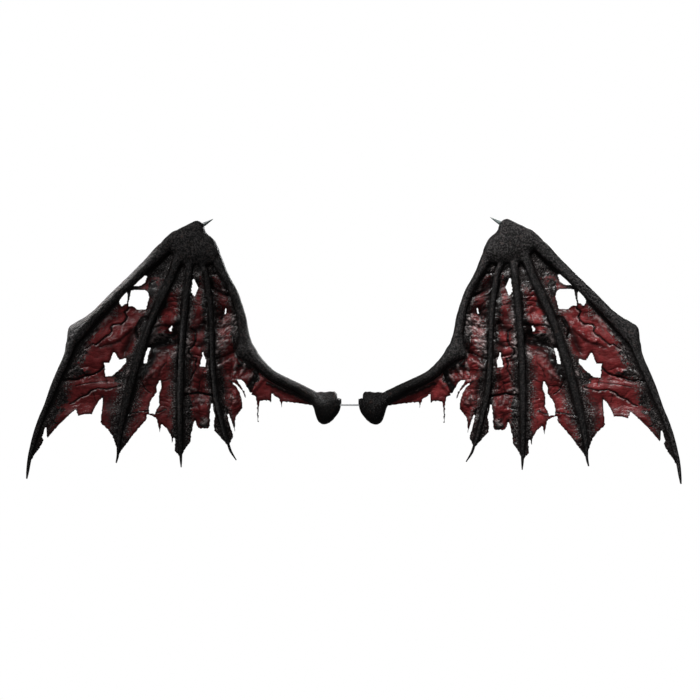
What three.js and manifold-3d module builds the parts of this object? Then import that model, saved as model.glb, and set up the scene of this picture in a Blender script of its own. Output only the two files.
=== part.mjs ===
// Vampire costume wings: two torn bat wings on one short yoke bar.
//
// Each wing is a dark sculpted frame (root knob, arm, palm and four fingers, with
// a claw on the palm) that carries five torn panels of thin red skin. One wing is
// worked out on the +X side and the other is its mirror image.
//
// Units are millimetres and +Z is up. The origin is the middle of the yoke bar,
// between the two root knobs. The wings' hollow side faces -Y, and "left" and
// "right" are as seen from there.
// "out" is the distance from the middle plane, "back" is along +Y and "up" is +Z.
import * as THREE from "three";
import { mergeVertices } from "three/addons/utils/BufferGeometryUtils.js";
import Module from "manifold-3d";

const wasm = await Module();
wasm.setup();

// Driving dimensions
const GAP = 0.3; // clearance between neighbouring pieces
const SKIN_THICK = 2; // wall of a skin panel
const SKIN_SAG = 8; // how far a panel hangs back between its two bones
const BONE_LIFT = -2; // a bone's middle stands this far in front of the skin
const CUT_REACH = 150; // half length of a cutter, past every face

// The cupped form of a wing: the middle of the wing lies furthest back, the outer
// edge comes forward and the lower tips near the body curl back.
const CUP = {
  furthestBack: 30,
  crestOut: 100,
  reach: 640,
  forwardAtReach: 100,
  rampFrom: 20,
  rampTo: 230,
  curlBelow: 130,
  curlDrop: 280,
  curlBack: 24,
  curlEnds: 720,
};

// The yoke bar: a plate between the knobs, with a thinner tongue into each of them
const BAR = { plateLong: 48, wholeLong: 104, deep: 26, plateThick: 3, tongueThick: 2 };

const BONE_SIDES = 10;
const THIN_BONE_SIDES = 8;
const PALM_SIDES = 12;
const CLAW_SIDES = 8;
const CURVE_STEPS = 3; // straight steps along a bowed stretch of a torn edge

// Turns rows of numbers into rows with named columns.
function table(columns, rows) {
  return rows.map((row) => Object.fromEntries(columns.map((name, i) => [name, row[i]])));
}

const BONE_COLUMNS = ["out", "up", "wide", "deep"]; // wide and deep are half sizes

// The arm runs from inside the root knob, round the elbow, into the palm.
const ARM = table(BONE_COLUMNS, [
  [64, 4, 13, 12],
  [95, 24.5, 13, 12],
  [147, 50, 11.5, 11],
  [184, 70, 11.5, 11],
  [214, 97, 12.5, 12],
  [243, 131, 17, 13],
  [250, 164, 12.5, 12],
  [255.5, 205, 10.5, 11],
  [272, 258, 9.5, 11],
  [297, 304, 10, 12],
  [317, 345, 14, 13],
  [331, 374, 13, 13],
]);

// Fingers are numbered from the outer, leading one to the one nearest the arm.
const FINGERS = [
  table(BONE_COLUMNS, [
    [411, 388, 11.5, 12],
    [439, 359, 14, 13],
    [487, 308, 12.5, 12],
    [542, 251, 12, 12],
    [587, 203, 12, 12],
    [623.5, 166, 18.5, 14],
    [636, 140, 12.5, 12],
    [643, 114, 9.5, 10],
    [660, 73, 8.5, 9],
    [675, 34, 8, 8],
    [687, 0, 6.5, 7],
    [702.5, -42, 6.5, 6.5],
    [713, -78, 5.5, 6],
    [722, -120, 4.5, 5],
    [726, -153, 3, 3.5],
    [727.5, -167, 0.8, 1],
  ]),
  table(BONE_COLUMNS, [
    [393, 364, 9, 9],
    [402, 340, 9, 9],
    [417, 297, 8.5, 9],
    [442, 240, 8.5, 9],
    [466, 182, 8.2, 8.5],
    [487, 116, 8.2, 8.5],
    [503, 60, 8, 8],
    [515, 8, 7.5, 7.5],
    [527, -44, 6, 6],
    [534, -93, 4, 4],
    [536.5, -122, 2.2, 2.4],
    [537.5, -137, 0.8, 1],
  ]),
  table(BONE_COLUMNS, [
    [372, 359, 7.5, 8],
    [375, 335, 7.5, 8],
    [379, 285, 7.5, 8],
    [386, 219, 7.5, 8],
    [392, 138, 7.2, 7.5],
    [395, 56, 7, 7],
    [396, -16, 6.5, 6.5],
    [396, -84, 4.8, 5],
    [395, -128, 2.4, 2.8],
    [395, -150, 0.8, 1],
  ]),
  table(BONE_COLUMNS, [
    [355, 362, 7, 8],
    [350, 338, 7, 8],
    [338, 301, 6.5, 7.5],
    [330, 252, 6.2, 7],
    [325, 196, 5.8, 6.5],
    [323, 138, 5.6, 6.2],
    [321, 87, 5.6, 6],
    [316, 31, 5.6, 5.8],
    [306, -20, 5.2, 5.5],
    [293, -74, 4, 4.2],
    [277.5, -112, 2.2, 2.5],
    [267, -133, 0.8, 1],
  ]),
];

// Upright sections across the root knob, from its cut end outwards.
const KNOB = table(["out", "up", "wide", "deep"], [
  [25, 2, 15, 15],
  [30, 2, 23, 18],
  [41, -2, 31, 22],
  [55, -9, 37, 24],
  [67, -8, 36, 24],
  [77, 0, 30, 21],
  [86, 14, 19, 17],
  [93, 20, 15, 14],
]);
const KNOB_STEP = { out: 34, up: 16 }; // the corner broken out of the knob's cut end

// Level sections through the palm, from its peak down to the webs between the fingers.
const PALM = table(["out", "up", "wide", "deep"], [
  [360, 428, 3, 4],
  [359, 424, 10, 8],
  [365, 415, 22, 12],
  [374, 404, 33, 16],
  [380, 392, 43, 18],
  [376, 378, 52, 19],
  [369, 362, 57, 19],
  [361, 348, 54, 17],
  [358, 337, 47, 12],
  [357, 327, 38, 6],
]);

const CLAW = table(BONE_COLUMNS, [
  [357, 413, 4.5, 4.5],
  [346, 419, 4.2, 4.2],
  [337, 424.5, 2.8, 2.8],
  [329, 429.5, 1.4, 1.4],
  [322.5, 433.5, 0.4, 0.4],
]);

// Below the elbow, the inner two panels meet along this line.
const SEAM = table(["out", "up"], [
  [207, 91],
  [231, 23],
]);

// A torn edge, a row for each corner. Bow is the height of the arc to the next
// corner, upwards where it is positive.
const EDGE_COLUMNS = ["out", "up", "bow"];

// A panel's rows run across it, each along a fold: from height "from", on the outer
// bone, to height "to", on the inner one. Rise is how far the fold stands forward of
// the panel's sag, so a valley is negative.
const FOLD_COLUMNS = ["from", "to", "rise"];

const PANELS = {
  outer_panel: {
    columns: 5,
    folds: table(FOLD_COLUMNS, [
      [385, 362, 0],
      [300, 300, 0],
      [240, 262, 4],
      [190, 222, -3],
      [140, 160, 3],
      [102, 100, 2],
      [74, 56, -10],
      [46, 34, 7],
      [6, 2, -5],
      [-30, -24, 5],
      [-75, -70, -2],
      [-130, -124, 0],
    ]),
    edge: table(EDGE_COLUMNS, [
      [720, -128, 0],
      [697, -88, 3],
      [698, -74, 0],
      [689, -48, 0],
      [688, -79, 3],
      [628, -12, 0],
      [622, -27, 2],
      [593, -23, 3],
      [571, 18, 0],
      [574, -45, 10],
      [538, -116, 0],
    ]),
    tears: [
      table(EDGE_COLUMNS, [[483, 300, 0], [474, 298, 0], [477, 284, 0], [486, 277, -2], [504, 275, 0]]),
      table(EDGE_COLUMNS, [[519, 260, 0], [517, 256, -2], [519, 233, 2], [529, 225, 0], [535, 238, 0]]),
      table(EDGE_COLUMNS, [[479, 266, 2], [468, 251, 0], [476, 222, -1], [497, 221, 3], [515, 227, 0], [508, 264, 0]]),
      table(EDGE_COLUMNS, [
        [547, 122, 0],
        [534, 102, 0],
        [519, 107, 0],
        [519, 98, -2],
        [553, 66, 0],
        [567, 64, 0],
        [569, 95, 0],
        [557, 95, 0],
      ]),
    ],
  },
  second_panel: {
    columns: 5,
    folds: table(FOLD_COLUMNS, [
      [362, 360, 0],
      [300, 296, 0],
      [262, 250, 4],
      [222, 214, -4],
      [184, 188, 7],
      [150, 160, -10],
      [108, 126, 4],
      [66, 88, 4],
      [20, 20, -3],
      [-40, -36, 4],
      [-90, -84, 0],
      [-126, -128, 0],
    ]),
    edge: table(EDGE_COLUMNS, [
      [535, -120, 3],
      [472, -36, 0],
      [471, -24, 2],
      [449, -35, 0],
      [444, -67, 0],
      [439, -45, 3],
      [418, -76, 0],
      [416, -91, 0],
      [412, -78, 0],
      [408, -80, 0],
      [410, -108, 0],
      [396, -124, 0],
    ]),
    tears: [
      table(EDGE_COLUMNS, [
        [443, 56, 2],
        [441, 38, 0],
        [447, 26, 0],
        [446, -4, 2],
        [453, -23, 1],
        [466, -22, 3],
        [463, 11, 0],
        [451, 28, 0],
        [452, 40, 0],
      ]),
      table(EDGE_COLUMNS, [[472, 131, 0], [466, 131, 0], [472, 96, 0], [479, 94, 0]]),
      table(EDGE_COLUMNS, [[421, 183, 0], [414, 183, 0], [419, 170, 0], [424, 176, 0]]),
    ],
  },
  third_panel: {
    columns: 4,
    folds: table(FOLD_COLUMNS, [
      [358, 360, 0],
      [290, 292, 0],
      [236, 226, 4],
      [186, 172, -4],
      [142, 150, 5],
      [104, 104, -2],
      [74, 66, 4],
      [24, 20, -7],
      [-8, -14, 5],
      [-60, -58, 0],
      [-132, -108, 0],
    ]),
    edge: table(EDGE_COLUMNS, [
      [395, -130, 3],
      [374, -89, 0],
      [373, -70, 0],
      [364, -33, 0],
      [361, -50, -2],
      [351, -57, 0],
      [338, -57, -2],
      [330, -50, 0],
      [325, 11, 0],
      [316, -28, 0],
      [320, -38, 0],
      [320, -61, 0],
      [284, -101, 0],
    ]),
    tears: [
      table(EDGE_COLUMNS, [[368, 295, 0], [358, 272, 0], [365, 252, 0], [373, 262, 0]]),
      table(EDGE_COLUMNS, [[345, 123, 0], [337, 99, 1], [338, 87, 0], [352, 89, 0]]),
    ],
  },
  arm_panel: {
    columns: 5,
    folds: table(FOLD_COLUMNS, [
      [360, 350, 0],
      [312, 284, 2],
      [288, 252, -6],
      [262, 228, 5],
      [204, 206, -4],
      [160, 168, 4],
      [120, 128, -2],
      [92, 104, 6],
      [72, 80, -5],
      [46, 60, 4],
      [6, 20, 6],
      [-40, -20, 4],
      [-98, -60, 0],
    ]),
    edge: table(EDGE_COLUMNS, [
      [285, -96, 0],
      [277, -74, 0],
      [291, -14, 0],
      [272, -66, 3],
      [268, -28, 0],
      [253, -9, 2],
      [255, 14, 5],
      [283, 55, 2],
      [255, 33, 0],
      [243, 8, 0],
      [248, 29, 0],
      [266, 57, 3],
      [250, 52, 0],
      [237, 28, 2],
      [220, 21, 0],
    ]),
    tears: [table(EDGE_COLUMNS, [[297, 225, 0], [291, 223, 0], [296, 209, 0], [299, 210, 0]])],
  },
  root_panel: {
    columns: 5,
    folds: table(FOLD_COLUMNS, [
      [91, 90, 0],
      [70, 70, 1],
      [50, 46, 3],
      [28, 22, 1],
      [6, 4, 2],
      [-46, -46, 0],
    ]),
    edge: table(EDGE_COLUMNS, [
      [240, 24, 0],
      [222, 19, 0],
      [219.5, 4, 0],
      [217.5, -40, 0],
      [215, 4, 2],
      [191, 8, 0],
      [187, 4, 0],
      [184, 27, -2],
      [167, 14, 0],
      [161, -8, 0],
      [158, 7, 0],
      [60, -4, 0],
    ]),
    tears: [],
  },
};

// How far back the middle of the skin lies, before it sags and folds.
function wingBack(out, up) {
  const along = (out - CUP.crestOut) / CUP.reach;
  const bowl = CUP.furthestBack - CUP.forwardAtReach * along * along;
  const ramp = THREE.MathUtils.smoothstep(out, CUP.rampFrom, CUP.rampTo);
  const drop = Math.max(0, (CUP.curlBelow - up) / CUP.curlDrop);
  const nearBody = Math.max(0, 1 - out / CUP.curlEnds);
  return bowl * ramp + CUP.curlBack * drop * drop * nearBody * ramp;
}

function pointAt(out, up, lift = 0) {
  return new THREE.Vector3(out, wingBack(out, up) + lift, up);
}

// Booleans: a geometry becomes a solid, and a solid a geometry.
function solidOf(geometry) {
  const bare = new THREE.BufferGeometry();
  bare.setAttribute("position", geometry.getAttribute("position").clone());
  bare.setIndex(geometry.index);
  const merged = mergeVertices(bare, 1e-4);
  return new wasm.Manifold(
    new wasm.Mesh({
      numProp: 3,
      vertProperties: merged.getAttribute("position").array,
      triVerts: new Uint32Array(merged.index.array),
    }),
  );
}

function geometryOf(solid) {
  const { vertProperties, triVerts } = solid.getMesh();
  const geometry = new THREE.BufferGeometry();
  geometry.setAttribute("position", new THREE.BufferAttribute(vertProperties, 3));
  geometry.setIndex(new THREE.BufferAttribute(triVerts, 1));
  geometry.computeVertexNormals();
  return geometry;
}

// Of the bodies that a cut leaves, the largest. The rest are specks beside a bone.
function mainBody(solid) {
  return solid.decompose().reduce((best, body) => (body.volume() > best.volume() ? body : best));
}

// A closed skin over rings with equally many points, with a fan at each end.
function loft(rings) {
  const sides = rings[0].length;
  const points = rings.flat();
  const index = [];
  for (let ring = 0; ring + 1 < rings.length; ring++) {
    for (let side = 0; side < sides; side++) {
      const a = ring * sides + side;
      const b = ring * sides + ((side + 1) % sides);
      index.push(a, b, a + sides, b, b + sides, a + sides);
    }
  }
  const last = (rings.length - 1) * sides;
  for (let side = 1; side + 1 < sides; side++) {
    index.push(0, side + 1, side, last, last + side, last + side + 1);
  }
  return new THREE.BufferGeometry().setFromPoints(points).setIndex(index);
}

function ellipse(centre, sideways, through, wide, deep, sides) {
  return Array.from({ length: sides }, (_, i) => {
    const angle = (2 * Math.PI * i) / sides;
    return centre
      .clone()
      .addScaledVector(sideways, wide * Math.cos(angle))
      .addScaledVector(through, deep * Math.sin(angle));
  });
}

// The smooth line through a bone's rows.
function bonePath(rows) {
  return new THREE.CatmullRomCurve3(rows.map((row) => pointAt(row.out, row.up, BONE_LIFT)));
}

// A bone: oval rings square to its path. "grow" makes it larger all round, for cutting.
function bone(rows, { grow = 0, sides = BONE_SIDES } = {}) {
  const path = bonePath(rows);
  const sizes = new THREE.CatmullRomCurve3(
    rows.map((row) => new THREE.Vector3(row.wide, row.deep, 0)),
  );
  const steps = rows.length - 1;
  const rings = [];
  for (let step = 0; step <= steps; step++) {
    const along = path.getTangent(step / steps);
    const sideways = new THREE.Vector3(along.z, 0, -along.x).normalize();
    const through = new THREE.Vector3().crossVectors(along, sideways).normalize();
    const size = sizes.getPoint(step / steps);
    const past = step === 0 ? -grow : step === steps ? grow : 0;
    const centre = path.getPoint(step / steps).addScaledVector(along, past);
    rings.push(ellipse(centre, sideways, through, size.x + grow, size.y + grow, sides));
  }
  return loft(rings);
}

const AXIS_OUT = new THREE.Vector3(1, 0, 0);
const AXIS_BACK = new THREE.Vector3(0, 1, 0);
const AXIS_UP = new THREE.Vector3(0, 0, 1);

function palm(grow = 0) {
  const rings = PALM.map((row, i) => {
    const past = i === 0 ? grow : i === PALM.length - 1 ? -grow : 0;
    const centre = pointAt(row.out, row.up, BONE_LIFT).addScaledVector(AXIS_UP, past);
    return ellipse(centre, AXIS_OUT, AXIS_BACK, row.wide + grow, row.deep + grow, PALM_SIDES);
  });
  return loft(rings.reverse());
}

function knob(grow = 0) {
  const rings = KNOB.map((row, i) => {
    const past = i === 0 ? -grow : i === KNOB.length - 1 ? grow : 0;
    const centre = pointAt(row.out, row.up).addScaledVector(AXIS_OUT, past);
    return ellipse(centre, AXIS_BACK, AXIS_UP, row.deep + grow, row.wide + grow, PALM_SIDES);
  });
  return loft(rings);
}

function tongues(grow = 0) {
  const [long, deep, thick] = [BAR.wholeLong, BAR.deep, BAR.tongueThick];
  return solidOf(new THREE.BoxGeometry(long + 2 * grow, deep + 2 * grow, thick + 2 * grow));
}

function bar() {
  const plate = solidOf(new THREE.BoxGeometry(BAR.plateLong, BAR.deep, BAR.plateThick));
  return geometryOf(plate.add(tongues()));
}

// A cutter straight through the wing, along Y, over a closed line of torn corners.
function cutter(corners) {
  const shape = new THREE.Shape();
  shape.moveTo(corners[0].out, corners[0].up);
  corners.forEach((from, i) => {
    const to = corners[(i + 1) % corners.length];
    const run = new THREE.Vector2(to.out - from.out, to.up - from.up);
    if (!from.bow) {
      shape.lineTo(to.out, to.up);
      return;
    }
    const across = new THREE.Vector2(-run.y, run.x).normalize();
    if (across.y < 0) across.negate();
    const middle = new THREE.Vector2((from.out + to.out) / 2, (from.up + to.up) / 2);
    const pull = middle.addScaledVector(across, 2 * from.bow);
    shape.quadraticCurveTo(pull.x, pull.y, to.out, to.up);
  });
  const prism = new THREE.ExtrudeGeometry(shape, {
    depth: 2 * CUT_REACH,
    bevelEnabled: false,
    curveSegments: CURVE_STEPS,
  });
  prism.translate(0, 0, -CUT_REACH);
  prism.rotateX(Math.PI / 2);
  return solidOf(prism);
}

// All that lies below a panel's torn edge, past the bones at its two ends too.
function belowEdge(edge) {
  const first = edge[0];
  const last = edge[edge.length - 1];
  const outer = first.out + CUT_REACH;
  const inner = last.out - CUT_REACH;
  const floor = Math.min(first.up, last.up) - CUT_REACH;
  return cutter([
    ...edge,
    { out: inner, up: last.up, bow: 0 },
    { out: inner, up: floor, bow: 0 },
    { out: outer, up: floor, bow: 0 },
    { out: outer, up: first.up, bow: 0 },
  ]);
}

// A rail gives how far out a line lies at any height. Its points run downwards.
function railThrough(points) {
  return (up) => {
    const i = points.findIndex((point) => point.up <= up);
    if (i === 0) return points[0].out;
    if (i < 0) return points[points.length - 1].out;
    const [above, below] = [points[i - 1], points[i]];
    return THREE.MathUtils.mapLinear(up, above.up, below.up, above.out, below.out);
  };
}

const RAIL_POINTS = 60;
function boneRail(rows) {
  const points = bonePath(rows).getPoints(RAIL_POINTS).map((point) => ({ out: point.x, up: point.z }));
  return railThrough(points.sort((a, b) => b.up - a.up));
}

const armRail = boneRail(ARM);
const fingerRails = FINGERS.map(boneRail);
const seamSlope = (SEAM[1].out - SEAM[0].out) / (SEAM[1].up - SEAM[0].up);
const seamRail = (up) => SEAM[0].out + (up - SEAM[0].up) * seamSlope;

// Each panel hangs between an outer and an inner rail.
const PANEL_RAILS = {
  outer_panel: [fingerRails[0], fingerRails[1]],
  second_panel: [fingerRails[1], fingerRails[2]],
  third_panel: [fingerRails[2], fingerRails[3]],
  arm_panel: [fingerRails[3], (up) => (up > SEAM[0].up ? armRail(up) : seamRail(up))],
  root_panel: [seamRail, armRail],
};

// A point in the middle of a panel's wall, on one of its folds: u runs from just
// inside the outer rail to just inside the inner one.
function skinPoint(fold, rails, u) {
  const out = THREE.MathUtils.lerp(rails[0](fold.from) - GAP, rails[1](fold.to) + GAP, u);
  const up = THREE.MathUtils.lerp(fold.from, fold.to, u);
  const slack = 4 * u * (1 - u);
  return pointAt(out, up, slack * (SKIN_SAG - fold.rise));
}

// The whole panel before it is torn: a wall of even thickness over its rows of folds.
function wholePanel(name) {
  const { columns, folds } = PANELS[name];
  const middle = folds.flatMap((fold) =>
    Array.from({ length: columns + 1 }, (_, column) => {
      return skinPoint(fold, PANEL_RAILS[name], column / columns);
    }),
  );
  const front = middle.map((point) => point.clone().addScaledVector(AXIS_BACK, -SKIN_THICK / 2));
  const rear = middle.map((point) => point.clone().addScaledVector(AXIS_BACK, SKIN_THICK / 2));
  const bands = folds.length - 1;
  const across = columns + 1;
  const count = middle.length;
  const index = [];
  const quad = (a, b, c, d) => index.push(a, b, c, a, c, d);
  for (let band = 0; band < bands; band++) {
    for (let column = 0; column < columns; column++) {
      const a = band * across + column;
      quad(a, a + 1, a + across + 1, a + across);
      quad(count + a, count + a + across, count + a + across + 1, count + a + 1);
    }
  }
  const rim = [];
  for (let column = 0; column < columns; column++) rim.push(column);
  for (let band = 0; band < bands; band++) rim.push(band * across + columns);
  for (let column = columns; column > 0; column--) rim.push(bands * across + column);
  for (let band = bands; band > 0; band--) rim.push(band * across);
  rim.forEach((a, i) => {
    const b = rim[(i + 1) % rim.length];
    quad(a, count + a, count + b, b);
  });
  return new THREE.BufferGeometry().setFromPoints([...front, ...rear]).setIndex(index);
}

// The pieces of one wing, as solids
const fingerSides = [BONE_SIDES, THIN_BONE_SIDES, THIN_BONE_SIDES, THIN_BONE_SIDES];
const fingers = FINGERS.map((rows, i) => bone(rows, { sides: fingerSides[i] }));
const fingerRooms = FINGERS.map((rows, i) => solidOf(bone(rows, { grow: GAP, sides: fingerSides[i] })));
const armRoom = solidOf(bone(ARM, { grow: GAP }));
const clawRoom = solidOf(bone(CLAW, { grow: GAP, sides: CLAW_SIDES }));
const boneRooms = [armRoom, ...fingerRooms];

const cutFrom = (solid, rooms) => rooms.reduce((left, room) => left.subtract(room), solid);

const palmSolid = mainBody(cutFrom(solidOf(palm()), [...boneRooms, clawRoom]));

const knobStep = new THREE.BoxGeometry(2 * KNOB_STEP.out, 2 * CUT_REACH, 2 * CUT_REACH);
knobStep.translate(0, 0, KNOB_STEP.up + CUT_REACH);
const knobSolid = mainBody(
  cutFrom(solidOf(knob()), [armRoom, tongues(GAP), solidOf(knobStep)]),
);

function tornPanel(name) {
  const { edge, tears } = PANELS[name];
  const cuts = [
    belowEdge(edge),
    ...tears.map(cutter),
    ...boneRooms,
    solidOf(palm(GAP)),
    solidOf(knob(GAP)),
  ];
  return mainBody(cutFrom(solidOf(wholePanel(name)), cuts));
}

// Finishes
const hide = new THREE.MeshStandardMaterial({ color: 0x1d1b1a, roughness: 0.6, metalness: 0 });
const skin = new THREE.MeshStandardMaterial({ color: 0x5c1517, roughness: 0.42, metalness: 0 });
const horn = new THREE.MeshStandardMaterial({ color: 0x8f9a97, roughness: 0.3, metalness: 0.2 });
const steel = new THREE.MeshStandardMaterial({ color: 0xb9bcbf, roughness: 0.35, metalness: 1 });

const wingPieces = [
  ["root_knob", geometryOf(knobSolid), hide],
  ["arm", bone(ARM), hide],
  ["palm", geometryOf(palmSolid), hide],
  ...fingers.map((geometry, i) => [`finger_${i + 1}`, geometry, hide]),
  ["claw", bone(CLAW, { sides: CLAW_SIDES }), horn],
  ...Object.keys(PANELS).map((name) => [name, geometryOf(tornPanel(name)), skin]),
];

function wing(side, mirror) {
  const group = new THREE.Group();
  group.scale.x = mirror;
  for (const [name, geometry, finish] of wingPieces) {
    const mesh = new THREE.Mesh(geometry, finish);
    mesh.name = `${side}_${name}`;
    group.add(mesh);
  }
  return group;
}

const wings = new THREE.Group();
const yoke = new THREE.Mesh(bar(), steel);
yoke.name = "yoke_bar";
wings.add(yoke, wing("right", 1), wing("left", -1));

export default wings;
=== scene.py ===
# %% [markdown]
# # A pair of torn vampire wings
#
# Costume wings of this kind are carved from foam, coated with latex and painted. Charred
# black bones spread like a bat's hand: an arm, a palm with a small claw, and four long
# fingers. A thin oxblood skin is stretched between them, and it is torn, cracked and burnt.
#
# The frame comes first. It holds the plain solids of every piece in metres, and everything that is made
# here sits in the same place as the solid that it stands for.

# %% Load the frame
import itertools

import bpy
import numpy as np
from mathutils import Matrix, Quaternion, Vector


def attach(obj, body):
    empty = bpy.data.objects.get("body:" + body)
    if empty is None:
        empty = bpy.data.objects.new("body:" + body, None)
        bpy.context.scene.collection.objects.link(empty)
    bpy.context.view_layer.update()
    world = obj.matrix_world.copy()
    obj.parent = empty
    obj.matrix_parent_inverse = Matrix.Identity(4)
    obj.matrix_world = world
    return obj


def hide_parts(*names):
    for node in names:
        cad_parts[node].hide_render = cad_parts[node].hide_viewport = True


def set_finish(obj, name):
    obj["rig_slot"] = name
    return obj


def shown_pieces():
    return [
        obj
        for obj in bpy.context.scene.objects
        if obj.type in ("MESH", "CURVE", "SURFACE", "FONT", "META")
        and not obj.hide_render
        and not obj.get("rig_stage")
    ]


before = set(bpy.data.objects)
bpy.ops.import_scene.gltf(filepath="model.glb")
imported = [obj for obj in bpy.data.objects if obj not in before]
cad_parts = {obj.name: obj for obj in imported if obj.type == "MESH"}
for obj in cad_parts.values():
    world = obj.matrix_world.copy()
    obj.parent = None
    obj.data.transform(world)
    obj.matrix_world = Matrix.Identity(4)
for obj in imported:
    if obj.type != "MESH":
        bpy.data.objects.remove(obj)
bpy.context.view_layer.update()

# %% [markdown]
# ## The wing's own coordinates
#
# Only one wing is worked out, and the other is its mirror image. A place on it is given by
# two lengths in millimetres: *out* from the middle of the back, and *up* from the bar that
# joins the wings. A third length, *back*, follows from those two, because a spread wing is a
# shallow bowl: it leaves the shoulder towards the back and its far fingers come forward.

# %% The bowl
MM = 0.001

CREST_OUT = 100
REACH = 640
FURTHEST_BACK = 30
FORWARD_AT_REACH = 100
RAMP_FROM, RAMP_TO = 20, 230
CURL_BELOW, CURL_DROP = 130, 280
CURL_BACK, CURL_ENDS = 24, 720


def smoothstep(value, low, high):
    """0 below low and 1 above high, joined by the smooth curve 3t^2 - 2t^3."""
    share = np.clip((value - low) / (high - low), 0, 1)
    return share * share * (3 - 2 * share)


def wing_back(out, up):
    """How far back the wing lies: a parabola along the span, eased in at the shoulder,
    and a second parabola that curls the lower hem back near the body."""
    bowl = FURTHEST_BACK - FORWARD_AT_REACH * ((out - CREST_OUT) / REACH) ** 2
    drop = np.maximum(0, (CURL_BELOW - up) / CURL_DROP)
    near_body = np.maximum(0, 1 - out / CURL_ENDS)
    return (bowl + CURL_BACK * drop**2 * near_body) * smoothstep(out, RAMP_FROM, RAMP_TO)


print("the bowl is", round(float(wing_back(CREST_OUT, 200)), 1), "mm back near the shoulder")

# %% [markdown]
# ## Camera
#
# The wings are seen almost squarely from the wearer's front, a little from the right and
# from slightly below. The lens has a field of view of 40 degrees, which is what a camera
# about two metres away needs to hold the whole span.

# %% Camera
CAMERA_AT = Vector((0.114, -2.208, 0.069))
CAMERA_TO = Vector((0.0, 0.0, 0.1265))
CAMERA_ROLL = np.radians(0.13)

lens = bpy.data.cameras.new("camera")
lens.sensor_width = 36
lens.lens = 49.45
camera = bpy.data.objects.new("camera", lens)
camera.location = CAMERA_AT
camera.rotation_mode = "QUATERNION"
aim = (CAMERA_TO - CAMERA_AT).to_track_quat("-Z", "Y")
camera.rotation_quaternion = aim @ Quaternion((0, 0, 1), CAMERA_ROLL)
bpy.context.scene.collection.objects.link(camera)
bpy.context.scene.camera = camera
print("camera", round((CAMERA_TO - CAMERA_AT).length, 2), "m from the wings")

# %% [markdown]
# ## A white studio
#
# Dark, slightly glossy things are hard to light: they show what surrounds them. The backdrop
# is paper white where the camera looks at it, while the light that it throws on the wings
# is kept low, so that the black hide stays black. Four spotlights model the wings. The right
# one rakes down the right wing from above on the left: it draws the crests of the wrinkles
# and leaves the hollows dark. The left one lights the left wing from above in front of it,
# and is weaker. The finger spot stands almost in the plane of the left wing, so that it only
# grazes the upper side of the leading finger. The arm spot does the same for the left arm
# from above. A soft lamp opens the shadows from the front, and another shows the back of the
# wings. The floor lies as far below as if the wings were worn by somebody who stands on it.
# It glows as white as the backdrop, and only the camera sees it.

# %% Nodes and colours
def set_inputs(node, inputs):
    """Sets a node's sockets. Each gets a number or a colour, or is linked to the output that it
    is paired with, or to the first output in use of the node that it is paired with."""
    for socket, value in dict(inputs).items():
        if isinstance(value, bpy.types.Node):
            value = next(output for output in value.outputs if output.enabled)
        if isinstance(value, bpy.types.NodeSocket):
            node.id_data.links.new(node.inputs[socket], value)
        else:
            node.inputs[socket].default_value = value


def add_node(tree, kind, inputs=(), **settings):
    """Adds a shader node of a kind such as "Mix", with its own choices and its inputs."""
    made = tree.nodes.new("ShaderNode" + kind)
    for label, value in settings.items():
        setattr(made, label, value)
    set_inputs(made, inputs)
    return made


def linear(code):
    """An sRGB colour such as "#5c1517" as linear red, green, blue and alpha."""
    share = np.array([int(code[i : i + 2], 16) for i in (1, 3, 5)]) / 255
    straight = np.where(share <= 0.04045, share / 12.92, ((share + 0.055) / 1.055) ** 2.4)
    return (*straight.tolist(), 1.0)


print("oxblood red in linear light:", np.round(linear("#8a3334"), 3))

# %% Lamps
def add_lamp(name, kind, place, aim_at, power, **settings):
    """A lamp of a power in watts, turned to a point. Settings are the lamp's own choices."""
    lamp = bpy.data.lights.new(name, kind)
    lamp.energy = power
    for label, value in settings.items():
        setattr(lamp, label, value)
    holder = bpy.data.objects.new(name, lamp)
    holder.location = place
    holder.rotation_euler = (Vector(aim_at) - Vector(place)).to_track_quat("-Z", "Y").to_euler()
    bpy.context.scene.collection.objects.link(holder)


# Columns: name, place, aim, watts, degrees across, softness of the beam, radius of the bulb
SPOTS = [
    ("right spot", (-0.35, -1.45, 2.5), (0.52, 0, 0.12), 430, 34, 1.0, 0.1),
    ("left spot", (-0.75, -1.3, 2.4), (-0.6, 0, 0.06), 125, 27, 1.0, 0.06),
    ("finger spot", (-1.2, -0.19, 1.7), (-0.58, -0.02, 0.28), 640, 13, 1.0, 0.03),
    ("arm spot", (-0.05, 0.15, 1.5), (-0.16, 0, 0.06), 210, 12, 0.8, 0.03),
]
for name, place, aim_at, power, degrees, blend, bulb in SPOTS:
    beam = {"spot_size": np.radians(degrees), "spot_blend": blend, "shadow_soft_size": bulb}
    add_lamp(name, "SPOT", place, aim_at, power, **beam)
add_lamp("front lamp", "AREA", (-1.0, -3.3, 1.4), (0, 0, 0.1), 14, size=1.2)
add_lamp("rear lamp", "AREA", (1.5, 4.6, 2.0), (0, 0, 0.1), 120, size=1.6)
print("lamps:", [lamp.name for lamp in bpy.data.lights])

# %% Backdrop
BACKDROP_SEEN = 1.0
BACKDROP_LIGHT = 0.09

scene = bpy.context.scene
scene.view_settings.view_transform = "Standard"
world = bpy.data.worlds.new("white studio")
world.use_nodes = True
scene.world = world
ray = add_node(world.node_tree, "LightPath").outputs["Is Camera Ray"]
seen = add_node(
    world.node_tree, "MapRange", {"Value": ray, "To Min": BACKDROP_LIGHT, "To Max": BACKDROP_SEEN}
)
set_inputs(world.node_tree.nodes["Background"], {"Color": linear("#ffffff"), "Strength": seen})
print(world.name, "throws", BACKDROP_LIGHT, "of the light that the camera sees")

# %% Floor
FLOOR_UP = -1.35
FLOOR_RADIUS = 1.7
FLOOR_CORNERS = 96
FLOOR_GLOW = 0.9

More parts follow.
